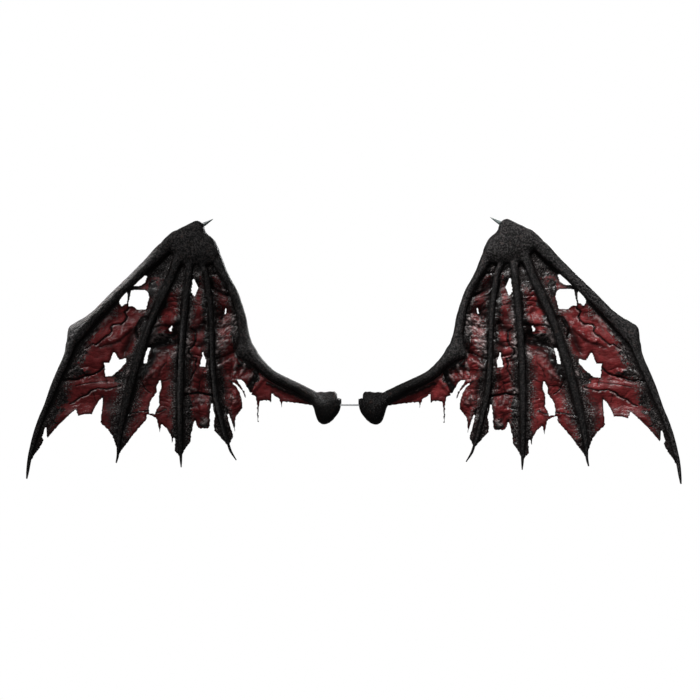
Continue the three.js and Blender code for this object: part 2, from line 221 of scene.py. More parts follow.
turn = np.linspace(0, 2 * np.pi, FLOOR_CORNERS, endpoint=False)
rim = FLOOR_RADIUS * np.stack([np.cos(turn), np.sin(turn)], axis=1)
disc = bpy.data.meshes.new("floor")
disc.from_pydata(np.c_[rim, np.full(len(turn), FLOOR_UP)], [], [list(range(len(turn)))])
floor = bpy.data.objects.new("floor", disc)
floor.visible_diffuse = False
floor.visible_glossy = False
scene.collection.objects.link(floor)
floor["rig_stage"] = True
white_paint = bpy.data.materials.new("white floor paint")
white_paint.use_nodes = True
paint = white_paint.node_tree.nodes["Principled BSDF"]
set_inputs(paint, {"Base Color": linear("#404040"), "Emission Color": linear("#ffffff")})
set_inputs(paint, {"Emission Strength": FLOOR_GLOW})
disc.materials.append(white_paint)
print("floor", FLOOR_UP, "m up,", 2 * FLOOR_RADIUS, "m across")

# %% [markdown]
# ## Noise and smooth lines
#
# Two helpers serve every piece. The first is value noise, the same idea as Blender's noise
# texture but worked out on arrays, so that it can move points and not just colour them. The
# second draws a smooth line through the rows of a short table, as a draughtsman bends a thin
# strip of wood past pins, and gives points along it at even steps.

# %% Noise
PRIMES = np.array([73856093, 19349663, 83492791])
BITS = 0xFFFFFFFF


def lattice_value(corner, seed):
    """A number from -1 to 1 that depends only on a lattice corner: its whole numbers times
    large primes are added, and the bits of the sum are scrambled."""
    mixed = (corner * PRIMES[: corner.shape[-1]]).sum(-1) + seed * 2654435761
    mixed = mixed & BITS
    mixed = ((mixed ^ (mixed >> 15)) * 0x2C1B3C6D) & BITS
    mixed = ((mixed ^ (mixed >> 12)) * 0x297A2D39) & BITS
    return (mixed ^ (mixed >> 15)) / 0x7FFFFFFF - 1


def noise(points, cell, seed):
    """Smooth noise from -1 to 1 in cells of a size in millimetres: the values at a cell's
    corners are blended by the curve 6t^5 - 15t^4 + 10t^3 along each axis."""
    place = points / np.asarray(cell, float)
    corner = np.floor(place).astype(np.int64)
    share = place - corner
    share = share**3 * (share * (share * 6 - 15) + 10)
    total = 0
    for step in itertools.product((0, 1), repeat=points.shape[-1]):
        weight = np.where(step, share, 1 - share).prod(-1)
        total = total + weight * lattice_value(corner + np.array(step), seed)
    return total


def rough(points, cell, seed, octaves=3):
    """Noise with finer noise on top: each further octave has half the cell and half the
    height of the one before."""
    cell = np.asarray(cell, float)
    return sum(noise(points, cell / 2**k, seed + k) / 2**k for k in range(octaves))


def pillows(points, cell, seed):
    """Round pillows between sharp valleys, from 0 to 1: the size of the noise, which is
    raised to the power 0.7 so that the valleys widen a little."""
    return np.abs(noise(points, cell, seed)) ** 0.7


def crests(points, cell, seed):
    """Pillows upside down: sharp crests between round valleys."""
    return 1 - pillows(points, cell, seed)


probe = rough(np.random.default_rng(1).uniform(0, 500, (2000, 3)), 20, 3)
print("noise runs from", round(float(probe.min()), 2), "to", round(float(probe.max()), 2))

# %% Smooth lines
FINE_STEPS = 1200


def smooth_line(rows, spacing):
    """A smooth line through a table's rows, at even spacing in millimetres. Between two rows
    every column is the cubic that meets their values and slopes. The slope at a row is that
    of the parabola through it and its neighbours, over the square root of their distance."""
    rows = np.array(rows, float)
    knots = np.r_[0, np.cumsum(np.sqrt(np.hypot(*np.diff(rows[:, :2], axis=0).T)))]
    slopes = np.gradient(rows, knots, axis=0)
    fine = np.linspace(0, knots[-1], FINE_STEPS)
    k = np.clip(np.searchsorted(knots, fine, side="right") - 1, 0, len(rows) - 2)
    width = (knots[k + 1] - knots[k])[:, None]
    t = (fine - knots[k])[:, None] / width
    line = (
        (2 * t**3 - 3 * t**2 + 1) * rows[k]
        + (t**3 - 2 * t**2 + t) * width * slopes[k]
        + (3 * t**2 - 2 * t**3) * rows[k + 1]
        + (t**3 - t**2) * width * slopes[k + 1]
    )
    run = np.r_[0, np.cumsum(np.hypot(*np.diff(line[:, :2], axis=0).T))]
    even = np.linspace(0, run[-1], int(run[-1] / spacing) + 2)
    return np.stack([np.interp(even, run, column) for column in line.T], axis=1)


arc = smooth_line([(100, 0), (71, 71), (0, 100)], 5)
print("a smooth line through 3 rows of a quarter circle has", len(arc), "points")

# %% [markdown]
# ## From arrays to pieces
#
# Each surface is an array of points in millimetres and a list of faces. It becomes a mesh in
# metres whose object stays at the origin. Every piece exists twice: the left wing's has
# *out* turned round, and its faces run the other way so that they still point outwards.

# %% Pieces for both wings
SIDES = {"right": 1, "left": -1}


def add_mesh(name, points, faces, attributes):
    """A smooth-shaded mesh object from points in millimetres. Each attribute is a named
    array with one number or three for every point, which the materials can read."""
    mesh = bpy.data.meshes.new(name)
    mesh.from_pydata(points * MM, [], faces)
    for label, values in attributes.items():
        kind, field = ("FLOAT", "value") if values.ndim == 1 else ("FLOAT_VECTOR", "vector")
        layer = mesh.attributes.new(label, kind, "POINT")
        layer.data.foreach_set(field, values.astype(np.float32).ravel())
    mesh.polygons.foreach_set("use_smooth", np.ones(len(mesh.polygons), bool))
    mesh.update()
    piece = bpy.data.objects.new(name, mesh)
    bpy.context.scene.collection.objects.link(piece)
    return piece


def both_wings(node, look, points, faces, slot, **attributes):
    """The right and the left piece that stand for a plain solid, which is then hidden."""
    made = {}
    for side, sign in SIDES.items():
        ordered = faces if sign > 0 else [face[::-1] for face in faces]
        piece = add_mesh(f"{side}_{node}_{look}", points * (sign, 1, 1), ordered, attributes)
        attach(piece, "root")
        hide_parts(f"{side}_{node}")
        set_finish(piece, slot)
        made[side] = piece
    return made


print("each piece is made for the wings:", list(SIDES))

# %% Tubes and their normals
# Shares of a normal that point along back: from the first one on, a bone takes grey ash and a painted
# sheen, and all of it from the second; below the first, its sides stay black as painted shade
BRUSH_AND_SHEEN_CATCHES = (0.2, 0.85)


def tube_faces(rings, sides):
    """Faces round a tube of rings: each joins two neighbours on a ring to the same two on
    the next ring, and one flat face closes each end."""
    ring, side = np.meshgrid(np.arange(rings - 1), np.arange(sides), indexing="ij")
    a = ring * sides + side
    b = ring * sides + (side + 1) % sides
    walls = np.stack([a, b, b + sides, a + sides], axis=-1).reshape(-1, 4)
    start = np.arange(sides)[::-1]
    end = np.arange(sides) + (rings - 1) * sides
    return walls.tolist() + [start.tolist(), end.tolist()]


def outward(points, faces):
    """Unit normals at the points: the cross products of the faces' diagonals, added up."""
    a, b, c, d = (points[faces[:, corner]] for corner in range(4))
    across = np.cross(c - a, d - b)
    total = np.zeros_like(points)
    for corner in range(4):
        np.add.at(total, faces[:, corner], across)
    return total / np.maximum(np.linalg.norm(total, axis=1, keepdims=True), 1e-9)


def brushed_and_facing_lit_share(points, faces):
    """How much grey ash and painted sheen lies on hide, from 0 on the sides of a bone, which stay black as
    painted shade, to 1 where it faces the front or the back: the smooth step of the normal's share along
    back."""
    return smoothstep(np.abs(outward(points, np.array(faces))[:, 1]), *BRUSH_AND_SHEEN_CATCHES)


print("a tube of 3 rings with 8 sides has", len(tube_faces(3, 8)), "faces")

# %% [markdown]
# ## Arm and fingers
#
# The bones are carved foam under thick, burnt latex. Each is a tube: an oval carried along a
# smooth line, with its half width across the wing and its half depth given row by row. Foam
# carved by hand is never even, so the radius is varied by lumps of about 16 mm, by long
# sinews that wind along the bone, and by small pits where the latex blistered.

# %% Tables of the bones
BONE_LIFT = -2
RING_SPACING = 1.7

# Columns: out, up, half width, half depth
ARM = [
    (64, 4, 13, 12), (95, 24.5, 13, 12), (147, 50, 11.5, 11), (184, 70, 11.5, 11),
    (214, 97, 12.5, 12), (241, 127, 18.5, 13), (249, 164, 12, 12), (255.5, 205, 10.5, 11),
    (272, 258, 9.5, 11), (297, 304, 10, 12), (317, 345, 14, 13), (329, 371, 13.5, 13),
    (347, 393, 9, 10),
]
FINGER_1 = [
    (394, 400, 8, 9), (411, 388, 11.5, 12), (439, 359, 14, 13), (487, 308, 12.5, 12),
    (542, 251, 12, 12), (587, 203, 12, 12), (623.5, 166, 18.5, 14), (636, 140, 12.5, 12),
    (643, 114, 9.5, 10), (660, 73, 8.5, 9), (675, 34, 8, 8), (687, 0, 6.5, 7),
    (702.5, -42, 6.5, 6.5), (713, -78, 5.5, 6), (722, -120, 4.5, 5), (726, -153, 3, 3.5),
    (727.5, -167, 1.5, 1.6),
]
FINGER_2 = [
    (393, 364, 9, 9), (402, 340, 9, 9), (417, 297, 8.5, 9), (442, 240, 8.5, 9),
    (466, 182, 8.2, 8.5), (487, 116, 8.2, 8.5), (503, 60, 8, 8), (515, 8, 7.5, 7.5),
    (527, -44, 6, 6), (534, -93, 4, 4), (535.5, -118, 3, 3), (539, -135, 1.5, 1.5),
]
FINGER_3 = [
    (372, 359, 7.5, 8), (375, 335, 7.5, 8), (379, 285, 7.5, 8), (386, 219, 7.5, 8),
    (392, 138, 7.2, 7.5), (395, 56, 7, 7), (396, -16, 6.5, 6.5), (396, -84, 4.8, 5),
    (395, -128, 3.2, 3.2), (394.5, -147, 1.3, 1.3),
]
FINGER_4 = [
    (355, 362, 7, 8), (350, 338, 7, 8), (338, 301, 6.5, 7.5), (330, 252, 6.2, 7),
    (325, 196, 5.8, 6.5), (323, 138, 5.6, 6.2), (321, 87, 5.6, 6), (316, 31, 5.6, 5.8),
    (306, -20, 5.2, 5.5), (293, -74, 4, 4.2), (286, -94, 3.3, 3.3), (281, -109, 3, 3),
    (268, -131, 1.3, 1.3),
]
BONES = {
    "arm": ARM,
    "finger_1": FINGER_1,
    "finger_2": FINGER_2,
    "finger_3": FINGER_3,
    "finger_4": FINGER_4,
}

# Corners that are drawn out of a bone. Columns: out and up of the spot, reach, and the step
# out, to the back and up that the surface takes there
SPURS = {"arm": (262, 116, 17, 10, -7, -5), "finger_1": (641, 176, 13, 3, 0, 2)}
print("rows of the bones:", {name: len(rows) for name, rows in BONES.items()})

# %% Bones as tubes
BONE_SIDES = 44
LUMP_CELL, BLISTER_CELL = 16, 4.5
SINEWS, SINEW_WIND, WIND_CELL = 3, 2.2, 45
# The arm and the leading finger take all the ash and painted sheen and keep their gloss; the others take
# less of both, which paints them darker as shade, and are duller
STOUT_BONES = ("arm", "finger_1")
THIN_BONE_ASH_AND_SHEEN, THIN_BONE_DULL = 0.6, 0.28


def bone_surface(rows, spacing, sides, seed, lump=0.045, sinew=0.035, blister=0.22):
    """Rings of points round a bone's line, as an array of rings by sides by three. A point is
    the line's place, plus half width times the cosine of its angle across the wing, plus half
    depth times the sine of it through the wing. Lumps, sinews and blisters are added along
    the spoke, in shares of the half width, so that they die away at the tips."""
    out, up, wide, deep = smooth_line(rows, spacing).T
    centre = np.stack([out, wing_back(out, up) + BONE_LIFT, up], axis=1)
    along = np.gradient(centre, axis=0)
    along /= np.linalg.norm(along, axis=1, keepdims=True)
    sideways = np.stack([along[:, 2], np.zeros_like(out), -along[:, 0]], axis=1)
    sideways /= np.linalg.norm(sideways, axis=1, keepdims=True)
    through = np.cross(along, sideways)
    angle = np.linspace(0, 2 * np.pi, sides, endpoint=False)[None, :, None]
    spoke = (
        wide[:, None, None] * np.cos(angle) * sideways[:, None]
        + deep[:, None, None] * np.sin(angle) * through[:, None]
    )
    surface = centre[:, None] + spoke
    wind = SINEW_WIND * noise(centre, WIND_CELL, seed + 40)[:, None]
    relief = lump * rough(surface, LUMP_CELL, seed)
    relief += sinew * np.cos(SINEWS * angle[..., 0] + wind) * smoothstep(wide, 2, 6)[:, None]
    pits = blister * np.minimum(0, noise(surface, BLISTER_CELL, seed + 60) + 0.25)
    relief += pits * smoothstep(wide, 3, 7)[:, None] / np.maximum(wide, 1)[:, None] * 2
    return surface + spoke * relief[..., None]


def drawn_out(points, out, up, reach, *step):
    """Moves points by a step, times a bell curve of how far they are from a spot."""
    away = np.hypot(points[:, 0] - out, points[:, 2] - up) / reach
    return points + np.exp(-(away**2))[:, None] * np.array(step)


for seed, (name, rows) in enumerate(BONES.items()):
    rings = bone_surface(rows, RING_SPACING, BONE_SIDES, 10 * seed)
    faces = tube_faces(*rings.shape[:2])
    points = rings.reshape(-1, 3)
    if name in SPURS:
        points = drawn_out(points, *SPURS[name])
    stout = name in STOUT_BONES
    # Grey ash and a painted sheen where a bone faces front or back, painted shade on its sides
    brushed = brushed_and_facing_lit_share(points, faces[:-2]) * (1 if stout else THIN_BONE_ASH_AND_SHEEN)
    dull = np.full(len(points), 0 if stout else THIN_BONE_DULL)
    both_wings(name, "hide", points, faces, "hide", brushed=brushed, dull=dull)
    print(name, len(rings), "rings", len(faces), "faces")

# %% [markdown]
# ## Palm
#
# All the fingers and the arm grow out of one smooth wedge, the palm. On carved foam there is
# no joint line: the fingers' roots melt into the wedge with a soft fillet. To get that, the
# wedge and a short root of every bone are made as closed shells, Blender's voxel remesh
# melts them into one skin, and a dozen rounds of averaging round off the creases. A root is a
# little thicker than its bone where it leaves the palm and dives under the bone's surface at
# its end, so the joint does not show.

# %% Palm: shells
# Columns: out, up, half width, half depth of level sections
PALM = [
    (357, 327, 38, 6), (358, 337, 47, 12), (361, 348, 54, 17), (369, 362, 57, 19),
    (376, 378, 52, 19), (380, 392, 43, 18), (374, 404, 33, 18), (365, 415, 22, 17),
    (359, 424, 10, 12), (360, 428, 3, 5),
]
ROOT_LENGTH = {"arm": 62, "finger_1": 66, "finger_2": 74, "finger_3": 78, "finger_4": 72}
ROOT_SWELL, ROOT_DIVE = 1.18, 0.86
ROOT_STEP = 4
SHELL_SPACING, PALM_SIDES, ROOT_SIDES = 3, 48, 24


def level_rings(rows, spacing, sides):
    """Level ovals stacked along a smooth line, from the lowest row to the highest. The sine
    through the wing is raised to the power 0.6, which flattens the front and the back."""
    out, up, wide, deep = smooth_line(rows, spacing).T[..., None]
    angle = np.linspace(0, 2 * np.pi, sides, endpoint=False)
    x = out + wide * np.cos(angle)
    through = np.sign(np.sin(angle)) * np.abs(np.sin(angle)) ** 0.6
    y = wing_back(out, up) + BONE_LIFT + deep * through
    return np.stack([x, y, np.broadcast_to(up, x.shape)], axis=-1)


def root_rows(name):
    """The stretch of a bone next to the palm, swollen at the palm and thinned at its end."""
    rows = smooth_line(BONES[name], ROOT_STEP)
    rows = rows[::-1] if name == "arm" else rows
    rows = rows[: int(ROOT_LENGTH[name] / ROOT_STEP)].copy()
    share = np.linspace(0, 1, len(rows))
    rows[:, 2:] *= (ROOT_SWELL + (ROOT_DIVE - ROOT_SWELL) * share**2)[:, None]
    return rows


shells = [level_rings(PALM, SHELL_SPACING, PALM_SIDES)]
for name in BONES:
    shells.append(
        bone_surface(root_rows(name), SHELL_SPACING, ROOT_SIDES, 0, lump=0, sinew=0, blister=0)
    )
print("palm and roots:", len(shells), "shells")

# %% Palm: melted into one
VOXEL = 1.9
AVERAGING_ROUNDS = 12


def mesh_arrays(mesh):
    """The points of a mesh in millimetres and its edges and four-sided faces, as arrays."""
    points = np.empty(len(mesh.vertices) * 3)
    mesh.vertices.foreach_get("co", points)
    edges = np.empty(len(mesh.edges) * 2, int)
    mesh.edges.foreach_get("vertices", edges)
    corners = np.empty(len(mesh.loops), int)
    mesh.loops.foreach_get("vertex_index", corners)
    return points.reshape(-1, 3) / MM, edges.reshape(-1, 2), corners.reshape(-1, 4)


def melted(shells, voxel):
    """One skin round several closed shells, by voxel remesh: points, edges and faces."""
    points = np.concatenate([shell.reshape(-1, 3) for shell in shells])
    firsts = np.cumsum([0] + [shell.shape[0] * shell.shape[1] for shell in shells])
    faces = []
    for shell, first in zip(shells, firsts):
        faces += [[corner + first for corner in face] for face in tube_faces(*shell.shape[:2])]
    lump = add_mesh("palm lump", points, faces, {})
    remesh = lump.modifiers.new("melt", "REMESH")
    remesh.mode = "VOXEL"
    remesh.voxel_size = voxel * MM
    skin = lump.evaluated_get(bpy.context.evaluated_depsgraph_get()).to_mesh()
    arrays = mesh_arrays(skin)
    bpy.data.objects.remove(lump)
    return arrays


def averaged(points, edges, rounds):
    """Moves every point to the middle of its neighbours, several times over."""
    ends = np.concatenate([edges, edges[:, ::-1]])
    count = np.bincount(ends[:, 0], minlength=len(points))[:, None]
    for _ in range(rounds):
        there = points[ends[:, 1]]
        total = [np.bincount(ends[:, 0], there[:, axis], len(points)) for axis in range(3)]
        points = np.stack(total, axis=1) / count
    return points


palm_points, palm_edges, palm_faces = melted(shells, VOXEL)
palm_points = averaged(palm_points, palm_edges, AVERAGING_ROUNDS)
print("palm", len(palm_points), "points")

# %% Palm: coat
# Heights of an even coat, of lumps and of pits
COAT, PALM_LUMPS, PALM_PITS = 1.5, 0.7, 0.35

palm_relief = COAT + PALM_LUMPS * rough(palm_points, 18, 71)
palm_relief = palm_relief + PALM_PITS * np.minimum(0, noise(palm_points, BLISTER_CELL, 75))
palm_points = palm_points + outward(palm_points, palm_faces) * palm_relief[:, None]
# Grey ash and a painted sheen where the palm faces front or back, painted shade on its sides
brushed = brushed_and_facing_lit_share(palm_points, palm_faces)
both_wings("palm", "hide", palm_points, palm_faces.tolist(), "hide", brushed=brushed)
print("the coat is up to", round(float(palm_relief.max()), 1), "mm thick")

# %% [markdown]
# ## Root knob
#
# The arm ends at the shoulder in a thick knob, the part that sits against the wearer's back.
# It is cut off square towards the middle, and a corner is broken out of the cut. It is a
# loft of upright ovals. The last rows dive into the arm, so that the two flow together, and
# the broken corner is a step: above it, the points of the first rings are pressed down.

# %% Root knob
# Columns: out, up, half height, half depth of upright sections
KNOB = [
    (20, 8, 7, 11), (24, 1, 15, 15), (33, 1, 28, 20), (42, -4, 33, 22), (54, -8, 37, 24),
    (66, -7, 36, 24), (75, -3, 32, 22), (80, 4, 26, 19), (85, 14, 19, 17), (94, 21, 14.5, 13.5),
    (106, 29, 11, 10),
]
STEP_OUT, STEP_UP = 30, 15
KNOB_SPACING, KNOB_SIDES = 0.9, 64
KNOB_LUMPS, KNOB_PITS, STEP_ROUGHNESS = 0.055, 0.02, 1.2


def knob_surface(spacing, sides):
    """Upright ovals along the knob's line. Lumps follow the size, and the points above the
    step near the cut end are lowered to it, apart from a little roughness."""
    out, up, tall, deep = smooth_line(KNOB, spacing).T[..., None]
    angle = np.linspace(0, 2 * np.pi, sides, endpoint=False)
    y = wing_back(out, up) + deep * np.cos(angle)
    z = up + tall * np.sin(angle)
    surface = np.stack([np.broadcast_to(out, y.shape), y, z], axis=-1)
    relief = 1 + KNOB_LUMPS * rough(surface, 22, 81, 4)
    relief += KNOB_PITS * np.minimum(0, noise(surface, 5, 87))
    surface[..., 1] = wing_back(out, up) + deep * np.cos(angle) * relief
    surface[..., 2] = up + tall * np.sin(angle) * relief
    broken = STEP_UP + STEP_ROUGHNESS * noise(surface, 6, 90)
    step = (surface[..., 0] < STEP_OUT) & (surface[..., 2] > broken)
    surface[..., 2] = np.where(step, broken, surface[..., 2])
    return surface


knob_rings = knob_surface(KNOB_SPACING, KNOB_SIDES)
knob_faces = tube_faces(*knob_rings.shape[:2])
knob_points = knob_rings.reshape(-1, 3)
# Grey ash and a painted sheen where the knob faces front or back, painted shade on its sides
brushed = brushed_and_facing_lit_share(knob_points, knob_faces[:-2])
both_wings("root_knob", "hide", knob_points, knob_faces, "hide", brushed=brushed)
print("knob", len(knob_faces), "faces")

# %% [markdown]
# ## Claw
#
# A bat's thumb ends in a claw. Here it is a small hooked spike of grey horn at the top of the
# palm, thick at the root and drawn out to a point, with faint flutes along it.

# %% Claw
CLAW_SPACING, CLAW_SIDES = 0.6, 28
# Columns: out, up, half width, half depth
CLAW = [
    (361, 410, 5.4, 5.4), (357, 413, 5.2, 5.2), (346, 419, 4.8, 4.8), (337, 424.5, 3.4, 3.4),
    (329, 429.5, 1.8, 1.8), (322.5, 433.5, 0.4, 0.4),
]
claw_rings = bone_surface(CLAW, CLAW_SPACING, CLAW_SIDES, 95, lump=0.03, sinew=0.05, blister=0)
claw_faces = tube_faces(*claw_rings.shape[:2])
both_wings("claw", "horn", claw_rings.reshape(-1, 3), claw_faces, "horn")
print("claw", len(claw_faces), "faces")

# %% [markdown]
# ## The skin: where it hangs
#
# Five panels of skin hang in each wing. A panel runs from an outer bone to an inner one, and its lower edge
# and its holes are torn. Each panel has short tables: its folds, as lines across from bone to bone with how
# far they stand out; its torn edge and its tears, as corners with how far the next stretch bows; its
# creases, as lines with a depth, a width and a painted shade; and the patches where it is burnt black,
# spared by the char beside the bones, or scuffed and painted with a pale highlight.

# %% The seam, and how the tables are read
# folds: height on the outer bone, height on the inner bone, how far it stands out
# edge and tears: out, up, bow of the stretch that follows
# creases: depth (negative for a ridge), width, blackness of the painted shade (negative for a painted pale
# highlight, as if the skin were rubbed), then the line as out and up
# burnt, spared and scuffed, where a pale highlight is painted: out, up, half width, half height of a patch
# wrinkled and fringe: how strong the wrinkles are and how wide the char beside the bones
SEAM = [(207, 91), (231, 23)]
print("the seam of arm and root panel runs from", *SEAM)

# %% Outer panel
OUTER_PANEL = {
    "bones": ("finger_1", "finger_2"),
    "folds": [
        (385, 362, 0), (300, 300, 0), (240, 262, 4), (190, 222, -3), (140, 160, 3), (102, 100, 2),
        (74, 56, -6), (46, 34, 2), (6, 2, -5), (-30, -24, 5), (-75, -70, -2), (-130, -124, 0),
    ],
    "edge": [
        (720, -128, 0), (697, -88, 3), (698, -74, 0), (689, -48, 0), (688, -79, 3), (628, -12, 0),
        (622, -27, 2), (593, -23, 3), (571, 18, 0), (574, -45, 10), (538, -116, 0),
    ],
    "tears": [
        [(483, 300, 0), (474, 298, 0), (477, 284, 0), (486, 277, -2), (504, 275, 0)],
        [(519, 260, 0), (517, 256, -2), (519, 233, 2), (529, 225, 0), (535, 238, 0)],
        [
            (479, 266, 2), (468, 251, 0), (476, 222, -1), (497, 221, 3), (515, 227, 0),
            (508, 264, 0),
        ],
        [
            (547, 122, 0), (534, 102, 0), (519, 107, 0), (519, 98, -2), (553, 66, 0),
            (567, 64, 0), (569, 95, 0), (557, 95, 0),
        ],
    ],
    "creases": [
        (3.0, 2.2, 1, [(516, 222), (525, 213), (520, 203), (523, 193),
                       (532, 185), (546, 185), (552, 182)]),
        (3.0, 2.2, 1, [(552, 182), (555, 177), (551, 169), (556, 161),
                       (563, 158), (571, 151), (585, 137)]),
        (2.4, 1.8, 1, [(585, 137), (592, 139), (608, 128)]),
        (2.6, 1.9, 1, [(531, 41), (546, 39), (563, 34), (580, 37), (597, 32), (603, 24)]),
        (2.6, 1.9, 1, [(603, 24), (620, 17), (632, 6), (642, 2)]),
        (4.0, 4.4, 0.96, [(472, 201), (484, 199), (491, 188), (497, 177), (498, 166), (495, 157)]),
        (1.4, 1.2, 0.8, [(566, 64), (561, 47)]),
        (5.0, 3.4, 0.95, [(660, 57), (630, 57), (606, 67)]),
        (4.0, 2.4, 0.97, [(606, 67), (586, 72), (576, 80), (568, 89)]),
        (-5.0, 6.0, -0.35, [(636, 74), (618, 77), (602, 77)]),
        (-2.0, 3.0, -0.5, [(612, 61), (598, 64), (586, 64)]),
        (1.6, 1.4, 0.7, [(560, 53), (590, 50), (628, 43)]),
        (1.4, 1.2, 0.8, [(676, -36), (667, -45)]),
        (5.0, 8.0, 0.65, [(503, 166), (509, 152), (515, 137), (521, 124)]),
        (-3.5, 7.0, 0, [(506, 182), (522, 167), (537, 154), (556, 147)]),
        (1.5, 3.6, 0.45, [(505, 173), (519, 160), (533, 147), (554, 139), (577, 132)]),
        (-0.6, 1.5, -0.22, [(519, 177), (536, 176), (549, 174)]),
        (-0.6, 1.5, -0.22, [(523, 170), (537, 166), (550, 163)]),
        (-0.6, 1.5, -0.22, [(527, 163), (541, 158), (553, 155)]),
        (-0.6, 1.5, -0.22, [(531, 157), (544, 152), (556, 148)]),
        (-1.2, 4.0, -0.8, [(557, 201), (566, 190), (577, 177)]),
        (1.2, 1.2, 0.5, [(592, 28), (588, 8)]),
        (0, 16.0, 0.3, [(534, -80), (546, -40), (556, 0)]),
    ],
    "burnt": [
        (642, 78, 24, 20), (622, 75, 22, 9), (509, 78, 20, 36), (531, 60, 20, 19),
        (436, 312, 34, 44), (460, 270, 12, 26), (484, 178, 8, 22), (662, 16, 16, 34),
        (676, -18, 14, 30), (626, 122, 22, 36), (505, 270, 16, 7), (514, 252, 6, 18),
    ],
    "spared": [(518, 146, 14, 32)],
    "scuffed": [(492, 214, 16, 5), (510, 72, 9, 10)],
    "wrinkled": 0.36,
    "fringe": 1.25,
}
print("outer panel:", len(OUTER_PANEL["creases"]), "creases")

# %% Second panel
SECOND_PANEL = {
    "bones": ("finger_2", "finger_3"),
    "folds": [
        (362, 360, 0), (300, 296, 0), (262, 250, 4), (222, 214, -4), (184, 188, 7),
        (150, 160, -10), (108, 126, 4), (66, 88, 4), (20, 20, -3), (-40, -36, 4), (-90, -84, 0),
        (-126, -128, 0),
    ],
    "edge": [
        (535, -120, 3), (472, -36, 0), (471, -24, 2), (449, -35, 0), (444, -67, 0), (439, -45, 3),
        (418, -76, 0), (416, -91, 0), (412, -78, 0), (408, -80, 0), (410, -108, 0),
        (396, -124, 0),
    ],
    "tears": [
        [
            (443, 56, 2), (441, 38, 0), (447, 26, 0), (446, -4, 2), (453, -23, 1), (466, -22, 3),
            (463, 11, 0), (451, 28, 0), (452, 40, 0),
        ],
        [(472, 131, 0), (466, 131, 0), (472, 96, 0), (479, 94, 0)],
        [(418.5, 185, 0), (416, 185, 0), (418, 176, 0), (418, 170, 0), (423, 171, 0), (423, 175, 0)],
    ],
    "creases": [
        (-7.0, 9.0, -0.4, [(468, 158), (452, 166), (440, 165)]),
        (6.0, 9.0, 0.95, [(472, 128), (452, 134), (434, 139), (420, 143), (402, 148)]),
        (0, 9.0, 0.75, [(466, 114), (450, 122), (432, 128)]),
        (-4.0, 6.0, -0.7, [(464, 146), (453, 156), (444, 162), (434, 158)]),
        (5.0, 4.0, 0.7, [(430, 183), (418, 181), (396, 188)]),
        (2.5, 2.0, 0.6, [(456, 180), (443, 183), (430, 184)]),
        (1.5, 1.3, 1, [(444, 266), (430, 266), (416, 264)]),
        (1.8, 1.7, 0.6, [(400, 249), (418, 252), (432, 248)]),
        (1.6, 1.6, 0.5, [(400, 239), (418, 241), (436, 237)]),
        (1.4, 1.5, 0.45, [(402, 228), (416, 230), (432, 226)]),
        (1.5, 1.3, 1, [(483, 51), (478, 35), (465, 26)]),
        (-2.2, 2.2, 0, [(521, -27), (492, -22), (470, -17), (447, -21), (429, -14)]),
        (1.6, 2.0, 0.97, [(521, -24), (492, -19), (470, -15), (447, -19), (429, -12)]),
        (-5.0, 11.0, 0, [(474, 60), (462, 70), (446, 88)]),
        (-1.5, 3.0, -0.7, [(472, 63), (463, 70), (452, 81)]),
        (0, 16.0, -0.3, [(464, 74), (452, 92), (438, 112)]),
        (-2.0, 2.6, -0.8, [(446, 112), (436, 118), (428, 119)]),
        (1.6, 1.5, 0.6, [(446, 66), (438, 84), (428, 98)]),
        (-2.0, 2.6, -1, [(408, 201), (416, 194)]),
        (-2.0, 2.6, -1, [(447, 187), (457, 183)]),
        (-2.5, 2.6, -1, [(434, 171), (436, 162)]),
        (0, 10.0, 0.95, [(456, 126), (460, 103), (473, 83), (488, 66)]),
        (0, 8.0, 0.9, [(400, 190), (410, 180), (414, 164)]),
        (1.2, 1.2, 0.7, [(438, 52), (420, 60), (406, 50)]),
        (1.2, 1.2, 0.7, [(454, 44), (470, 46), (484, 40)]),
    ],
    "burnt": [(440, 153, 36, 19), (480, 88, 10, 28), (402, 304, 40, 40), (405, -58, 12, 44)],
    "spared": [(425, 212, 19, 22), (417, 240, 13, 22)],
    "scuffed": [(410, 116, 7, 10)],
    "wrinkled": 0.85,
    "fringe": 1,
}
print("second panel:", len(SECOND_PANEL["creases"]), "creases")

